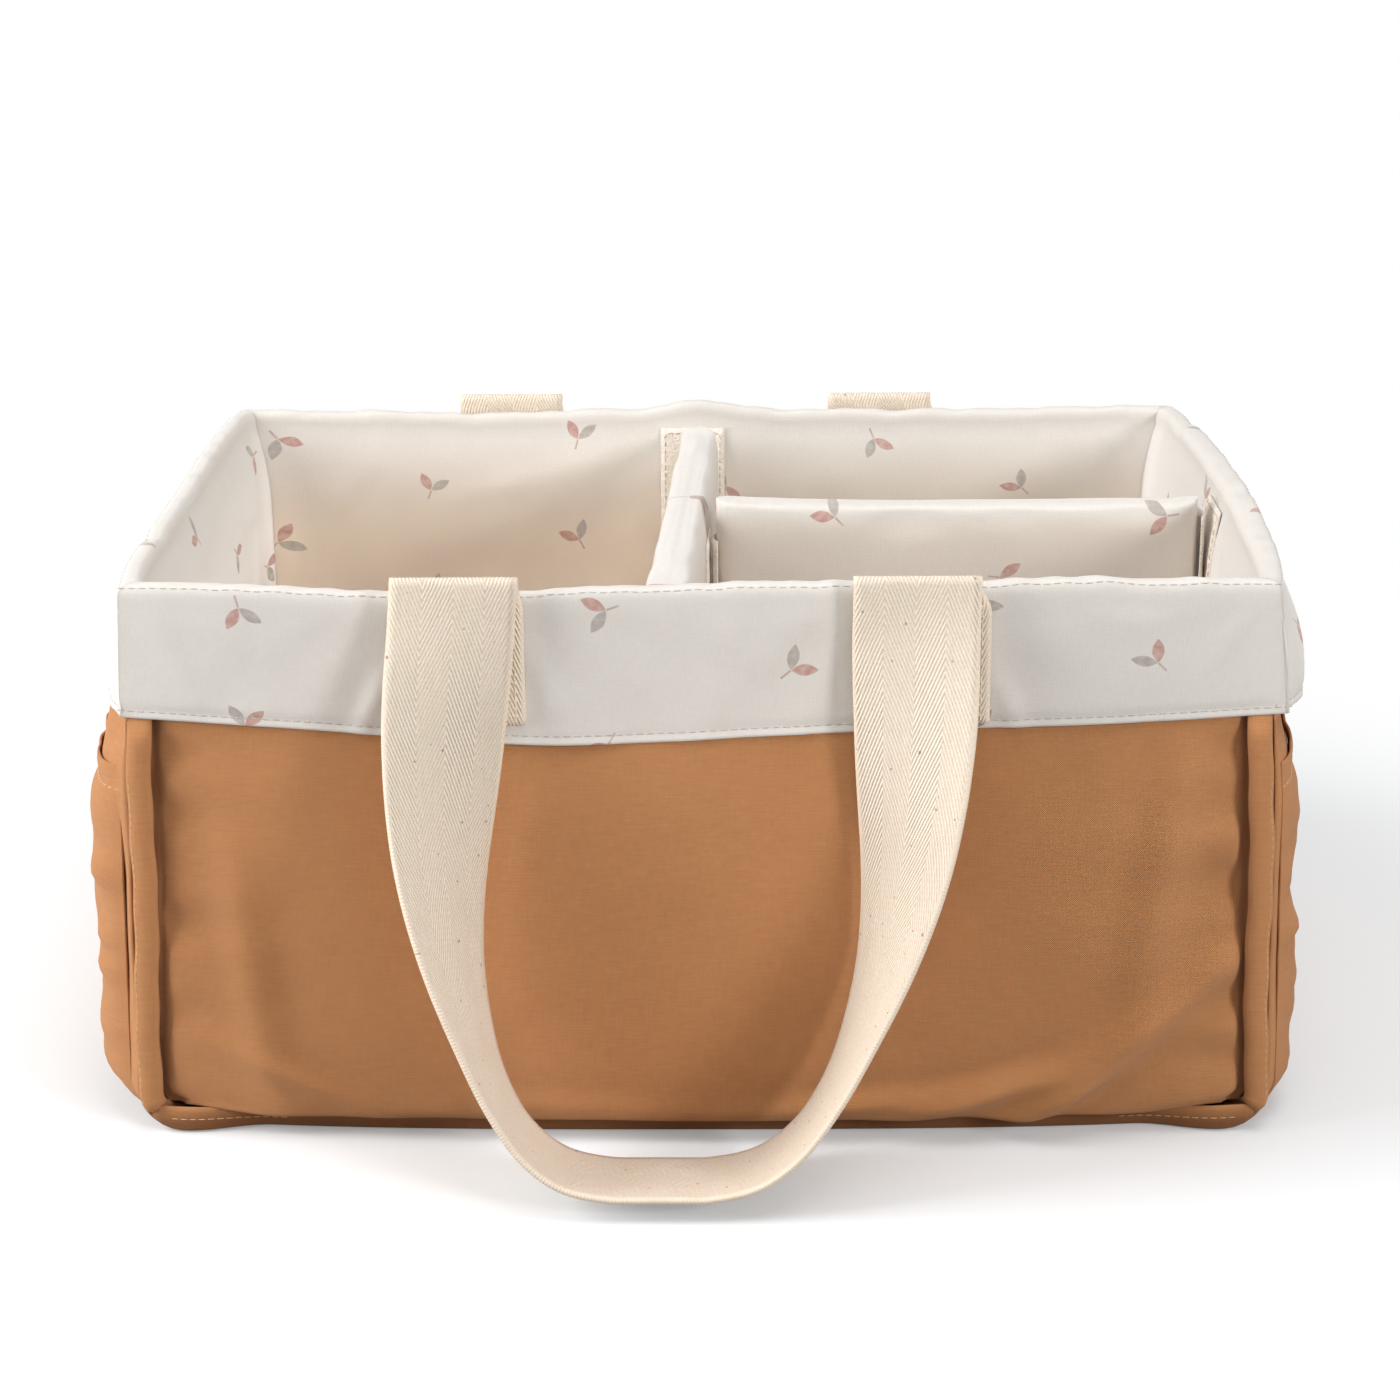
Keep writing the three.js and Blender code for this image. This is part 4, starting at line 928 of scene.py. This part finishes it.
def places(mesh):
    return np.array([vertex.co for vertex in mesh.vertices])


def move_to(pad, place):
    pad.data.vertices.foreach_set("co", place.ravel())
    pad.data.update()


def finished_places(pad):
    return places(pad.evaluated_get(bpy.context.evaluated_depsgraph_get()).data)


def swell_pad(pad, cap):
    cloth = pad.modifiers.new("swell", "CLOTH")
    cloth.settings.use_pressure = True
    cloth.settings.uniform_pressure_force = SWELL_PRESSURE
    cloth.settings.tension_stiffness = SWELL_STIFFNESS
    cloth.settings.compression_stiffness = SWELL_STIFFNESS
    cloth.settings.bending_stiffness = SWELL_BENDING
    cloth.settings.effector_weights.gravity = 0
    cloth.point_cache.frame_end = SWELL_STEPS
    rest = places(pad.data)
    for step in range(1, SWELL_STEPS + 1):
        scene.frame_set(step)
    move = finished_places(pad) - rest
    far = np.maximum(np.linalg.norm(move, axis=1, keepdims=True), 1e-9)
    pad.modifiers.clear()
    scene.frame_set(1)
    move_to(pad, rest + move * np.minimum(1, cap / far))


def reach_ends(pad, axis, start, end):
    now = finished_places(pad)[:, axis]
    place = places(pad.data)
    place[:, axis] = start + (place[:, axis] - now.min()) * (end - start) / np.ptp(now)
    move_to(pad, place)


def divider(body, axis, seed, reach=0.0):
    nodes = [f"{body}_cover", f"{body}_foam"]
    low, high = box_of(nodes[0])
    low[axis] -= reach
    thin = 1 - axis
    middle, radius = (low[thin] + high[thin]) / 2, (high[thin] - low[thin]) / 2
    turn = np.linspace(0, math.pi / 2, DIVIDER_TOP_ROWS)[1:]
    shoulder = high[2] - radius
    up = np.linspace(low[2], shoulder, DIVIDER_ROWS)
    z = np.concatenate([up, shoulder + radius * np.sin(turn) ** DIVIDER_SQUARENESS])[:, None]
    half = np.concatenate([0 * up + radius, radius * np.cos(turn) ** DIVIDER_SQUARENESS])
    half = np.maximum(half, LEAST_HALF)[:, None]
    along = np.linspace(low[axis], high[axis], int((high - low)[axis] / DIVIDER_STEP))[None, :]
    border = np.minimum(along - low[axis], high[axis] - along)
    rolled = 1 - 0.2 * rolled_edge(border, DIVIDER_ROLL)
    half = half * rolled - np.minimum(half * 0.3, DIVIDER_START)
    uneven = ripple(stacked(along, 0.0, z), DIVIDER_UNEVEN, seed)
    half = half + np.minimum(half, 0.001) * 0.5 * uneven
    pad = closed_pad(f"{body}_pad", *two_faces(thin, middle, half, along, z), cotton)
    swell_pad(pad, DIVIDER_SWELL)
    place = places(pad.data)
    # Painted shade: the divider's sides are painted darker and warmer below the top, down to a capped
    # depth.
    paint_inner_light(pad, np.clip(PAINTED_SHADE_GAIN * (high[2] - PAINTED_SHADE_START - place[:, 2]), 0, PAINTED_SHADE_DEPTH), 1)
    if axis == 1:
        move_to(pad, slanted(place))
    flank = np.where(place[:, thin] > middle, place[:, 2], 2 * high[2] - place[:, 2])
    uv = stacked(place[:, axis] + DIVIDER_PRINT[0] * seed, flank + DIVIDER_PRINT[1] * seed)
    loops = np.array([loop.vertex_index for loop in pad.data.loops])
    pad.data.uv_layers.new(name="cloth").data.foreach_set("uv", uv[loops].ravel())
    smooth = pad.modifiers.new("smooth", "SUBSURF")
    smooth.levels = smooth.render_levels = 1
    reach_ends(pad, axis, low[axis] + END_GAP, high[axis] - END_GAP)
    sit(pad, body, "printed_cotton", *nodes)


divider("cross_divider", 1, 1)
divider("side_divider", 0, 2, INNER_REACH)
tape("cross_divider_loop_strip", "cross_divider")
tape("cross_divider_front_hook_strip", "cross_divider", wrap=END_WRAP)
tape("cross_divider_back_hook_strip", "cross_divider", wrap=-END_WRAP)
tape("side_divider_left_hook_strip", "side_divider", shift=INNER_REACH - STRIP_SEAT, wrap=END_WRAP)
tape("side_divider_right_hook_strip", "side_divider", END_TAPE_TOP, spread=END_TAPE_SPREAD, wrap=-END_WRAP)

# Handles: two lengths of undyed cotton herringbone webbing. Each end is sewn flat on the cuff
# with its raw end down, then the webbing folds over above the rim and hangs as a loop whose
# middle turns on edge and lies on the table.
WEBBING_WIDTH, WEBBING_THICKNESS = 0.040, 0.002
HANDLE_SPACING, HANDLE_OFFSET, FOLD_HEIGHT = 0.145, -0.004, 0.191
TAB_FACE, TAB_FOOT, TAB_SHIFTS = -0.0034, HEM + 0.0012, (0.0014, 0.0034)
LOOP_STANDOFF, LOOP_SWING, LOOP_CURL = 0.018, -0.009, math.radians(9)
LOOP_HEIGHTS = (1, 0.92, 0.745, 0.54, 0.39, 0.25, 0.15, 0.07, 0.02, 0)
LOOP_SPREADS = (1, 1.005, 1.02, 1.005, 0.945, 0.84, 0.735, 0.6, 0.43, 0.2)
FOLD_RADIUS, FOLD_EASE, TAB_SEAM = 0.0014, 0.0002, 0.003
RIB_PITCH, RIB_SLOPE, HERRINGBONE, WEBBING_YARN = 0.0027, 2.3, 0.0196, (0.0013, 0.0011)
LOOP_ROWS, FOLD_ROWS, TAB_ROWS, WEBBING_COLUMNS = 181, 10, 24, 15
cream_thread = plain_thread("cream_thread", (222, 204, 176), (250, 238, 218))
webbing, dye, shader = new_material("herringbone_webbing", sheen=0.15)
place, u, v = cloth_axes(dye)
zigzag = abs((u / HERRINGBONE).fraction() - 0.5) * HERRINGBONE
rib = ((v + zigzag * RIB_SLOPE) * (math.tau / RIB_PITCH)).sine()
yarn = woven(u, v, *WEBBING_YARN)
slub = place.noise((900, 120, 1), 3)
specks = place.noise((520, 520, 1), 0).ramp(0.80, 0.84)
selvedge = (WEBBING_WIDTH / 2 - abs(u - WEBBING_WIDTH / 2)).ramp(0.0002, 0.0018)
# Painted shade: the rib grooves of the herringbone are painted darker, over the bump that gives their
# relief; the webbing is also painted darker along both edges.
groove = (0 - rib).ramp(0.3, 1.0) * (yarn * 0.5 + 0.5) * selvedge + (1 - selvedge) * 0.25
colour = slub.ramp(0.2, 0.8).mix(srgb(240, 225, 206), srgb(246, 234, 217))
colour = groove.mix(colour, srgb(208, 173, 138))
colour = (specks * 0.7).mix(colour, srgb(150, 118, 84))
relief = rib * selvedge * 0.8 + yarn * 0.2 + slub * 0.3
finish_material(dye, shader, colour, 0.95 - slub * 0.08, relief, 0.00026)


def smooth_route(stations, count):
    knots = run_of(stations, 0.5)
    slopes = np.gradient(stations, knots, axis=0)
    t = np.linspace(0, knots[-1], count * 8)
    i = np.clip(np.searchsorted(knots, t) - 1, 0, len(knots) - 2)
    gap = (knots[i + 1] - knots[i])[:, None]
    s = (t - knots[i])[:, None] / gap
    dense = (
        stations[i] * (1 + 2 * s) * (1 - s) ** 2 + stations[i + 1] * s ** 2 * (3 - 2 * s)
        + gap * (slopes[i] * s * (1 - s) ** 2 + slopes[i + 1] * s ** 2 * (s - 1))
    )
    run = run_of(dense)
    even = np.linspace(0, run[-1], count)
    return np.stack([np.interp(even, run, dense[:, k]) for k in range(3)], -1)


def tab_y(x, z):
    return half_depth(np.minimum(z, RIM_HEIGHT), TAB_FACE) + long_swell(x, HEM)


def edge_turn(fallen):
    return math.pi / 2 * np.sin(math.pi / 2 * fallen) ** 1.4


def unit(vectors):
    return vectors / np.linalg.norm(vectors, axis=1, keepdims=True)


height, spread = np.array(LOOP_HEIGHTS), np.array(LOOP_SPREADS)
tab_x = [HANDLE_OFFSET + sign * HANDLE_SPACING / 2 for sign in (-1, 1)]
loop_foot = (WEBBING_THICKNESS + WEBBING_WIDTH * math.sin(LOOP_CURL) + CLEARANCE) / 2
loop_top = FOLD_HEIGHT - FOLD_RADIUS
tab_routes = []
for wall_side in ("front", "back"):
    y_sign = SIDES[wall_side][1]
    legs = []
    for sign, x_top in zip((-1, 1), tab_x):
        z = loop_foot + (loop_top - loop_foot) * height
        out = 2 * FOLD_RADIUS - WEBBING_THICKNESS / 2 + WEBBING_WIDTH / 2 * np.sin(edge_turn(1 - height))
        out = out + LOOP_STANDOFF * (1 - height) ** 2
        x = HANDLE_OFFSET + sign * HANDLE_SPACING / 2 * spread + LOOP_SWING * (1 - height)
        legs.append(stacked(x, y_sign * (tab_y(x_top, z) + out), z))
    lowest = (legs[0][-1] + legs[1][-1]) / 2
    centre = smooth_route(np.concatenate([legs[0], lowest[None], legs[1][::-1]]), LOOP_ROWS)
    centre[:, 2] = np.maximum(centre[:, 2], loop_foot)
    fallen = np.clip((loop_top - centre[:, 2]) / (loop_top - loop_foot), 0, 1)
    turn = edge_turn(fallen)
    turn = np.where(np.arange(LOOP_ROWS) < LOOP_ROWS // 2, turn, math.pi - turn)
    across = stacked(-np.cos(turn), y_sign * np.sin(turn), math.sin(LOOP_CURL) * np.sin(turn) ** 4)
    tangent = unit(np.gradient(centre, axis=0))
    settled = smooth_step(0.02, 0.2, fallen)[:, None]
    across = unit(across - tangent * (across * tangent).sum(1, keepdims=True) * settled)
    ends = []
    for leg, way in ((0, -1.0), (-1, 1.0)):
        top, x_top = centre[leg], tab_x[leg]
        arc = np.linspace(math.pi, 0, FOLD_ROWS + 1)[:-1]
        y = top[1] - y_sign * FOLD_RADIUS * (1 - np.cos(arc))
        fold = stacked(top[0], y, top[2] + FOLD_RADIUS * np.sin(arc))
        z = np.linspace(TAB_FOOT, top[2], TAB_ROWS + 1)[:-1]
        y = y_sign * (tab_y(x_top, z) - WEBBING_THICKNESS / 2)
        tab = stacked(x_top + TAB_SHIFTS[leg] * (1 - smooth_step(0.18, 0.189, z)), y, z)
        end = np.concatenate([tab, fold])
        ends.append((end, np.tile([way, 0.0, 0.0], (len(end), 1))))
        inset, face = WEBBING_WIDTH / 2 - TAB_SEAM, WEBBING_THICKNESS / 2 * y_sign
        for off in (-inset, inset):
            tab_routes.append(tab[1:-3] + np.array([off, face, 0]))
        for level in (tab[1] + np.array([0, face, 0.001]), tab[-4] + np.array([0, face, 0])):
            tab_routes.append(level + np.linspace(-inset, inset, 12)[:, None] * np.array([1, 0, 0]))
    centre = np.concatenate([ends[0][0], centre, ends[1][0][::-1]])
    across = np.concatenate([ends[0][1], across, ends[1][1][::-1]])
    width = np.linspace(-0.5, 0.5, WEBBING_COLUMNS)[None, :, None] * WEBBING_WIDTH
    points = centre[:, None, :] + across[:, None, :] * width
    uv = stacked(width[..., 0] + WEBBING_WIDTH / 2, run_of(centre)[:, None])
    handle = cloth_grid(f"{wall_side}_webbing_handle", points, uv, webbing)
    thicken(handle, WEBBING_THICKNESS * 0.9, 0)
    fold_y = y_sign * (tab_y(tab_x[0], RIM_HEIGHT) - WEBBING_THICKNESS / 2)
    way = Vector((0, y_sign, DEPTH_FLARE / RIM_HEIGHT)).normalized()
    end = Vector((0, fold_y, RIM_HEIGHT)) + way * (2 * FOLD_RADIUS - FOLD_EASE)
    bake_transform(handle)
    nodes = [f"{wall_side}_handle_{part}" for part in ("left_tab", "right_tab", "loop")]
    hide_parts(*nodes)
sew("handle_stitches", tab_routes, cream_thread, "webbing", 0.0030, 0.0024, 0.0006)

# Table and light: a pale table top and a white room, lit from the left by a large soft lamp
# and a small low one, from above, and a little from the front right.
SHADOW_NEAR, SHADOW_FAR, HAZE = 0.27, 0.46, 0.22
TABLE_HALF, TABLE_LEVEL = 4, -0.0006
TABLE_SEEN, TABLE_UNSEEN, WHITE = (0.865, 0.885, 0.90, 1), (0.42, 0.42, 0.42, 1), (1, 1, 1, 1)
ROOM_LIGHT = 0.33
LAMPS_AIM = Vector((0, 0, 0.08))


def seen_rays(tree):
    path = tree.nodes.new("ShaderNodeLightPath")
    kinds = ("Is Camera Ray", "Is Glossy Ray", "Is Transmission Ray")
    return [Dye(tree, path.outputs[kind]) for kind in kinds]


pale, dye, shader = new_material("pale_table")
shader.inputs["Roughness"].default_value = 0.9
seen, glossy, through = seen_rays(dye.tree)
dye.feed(shader.inputs["Base Color"], seen.mix(TABLE_UNSEEN, TABLE_SEEN))
away = dye.node("ShaderNodeVectorMath", {"operation": "LENGTH"}, {0: body_axes(dye)}, 1)
bright = dye.node("ShaderNodeEmission", {}, {"Color": WHITE, "Strength": 1.0})
fade = (away.ramp(SHADOW_NEAR, SHADOW_FAR) * (1 - HAZE) + HAZE) * (seen + glossy + through)
plain = Dye(dye.tree, shader.outputs[0])
mixed = dye.node("ShaderNodeMixShader", {}, {0: fade, 1: plain, 2: bright})
dye.feed(dye.tree.nodes["Material Output"].inputs["Surface"], mixed)
corners = [(x * TABLE_HALF, y * TABLE_HALF, TABLE_LEVEL) for x, y in ((-1, -1), (1, -1), (1, 1), (-1, 1))]
table_top = new_piece("table_top", np.array(corners), np.arange(4).reshape(1, 4), pale)
world = bpy.data.worlds.new("white_room")
world.use_nodes = True
scene.world = world
room = Dye(world.node_tree)
sky = world.node_tree.nodes["Background"]
sky.inputs["Color"].default_value = WHITE
seen, glossy, through = seen_rays(world.node_tree)
room.feed(sky.inputs["Strength"], (seen + glossy + through) * (1 - ROOM_LIGHT) + ROOM_LIGHT)
for name, spot, size, watts in (
    ("key_lamp", (-1.5, -0.35, 1.1), 0.9, 23), ("top_lamp", (0.3, -0.35, 1.7), 1.0, 12),
    ("front_lamp", (1.3, -1.15, 0.75), 0.4, 13.5), ("side_lamp", (-1.35, -0.36, 0.35), 0.5, 8.0),
):
    lamp = bpy.data.objects.new(name, bpy.data.lights.new(name, "AREA"))
    lamp.data.energy = watts
    lamp.data.size = size
    lamp.location = spot
    lamp.rotation_euler = (LAMPS_AIM - Vector(spot)).to_track_quat("-Z", "Y").to_euler()
    scene.collection.objects.link(lamp)
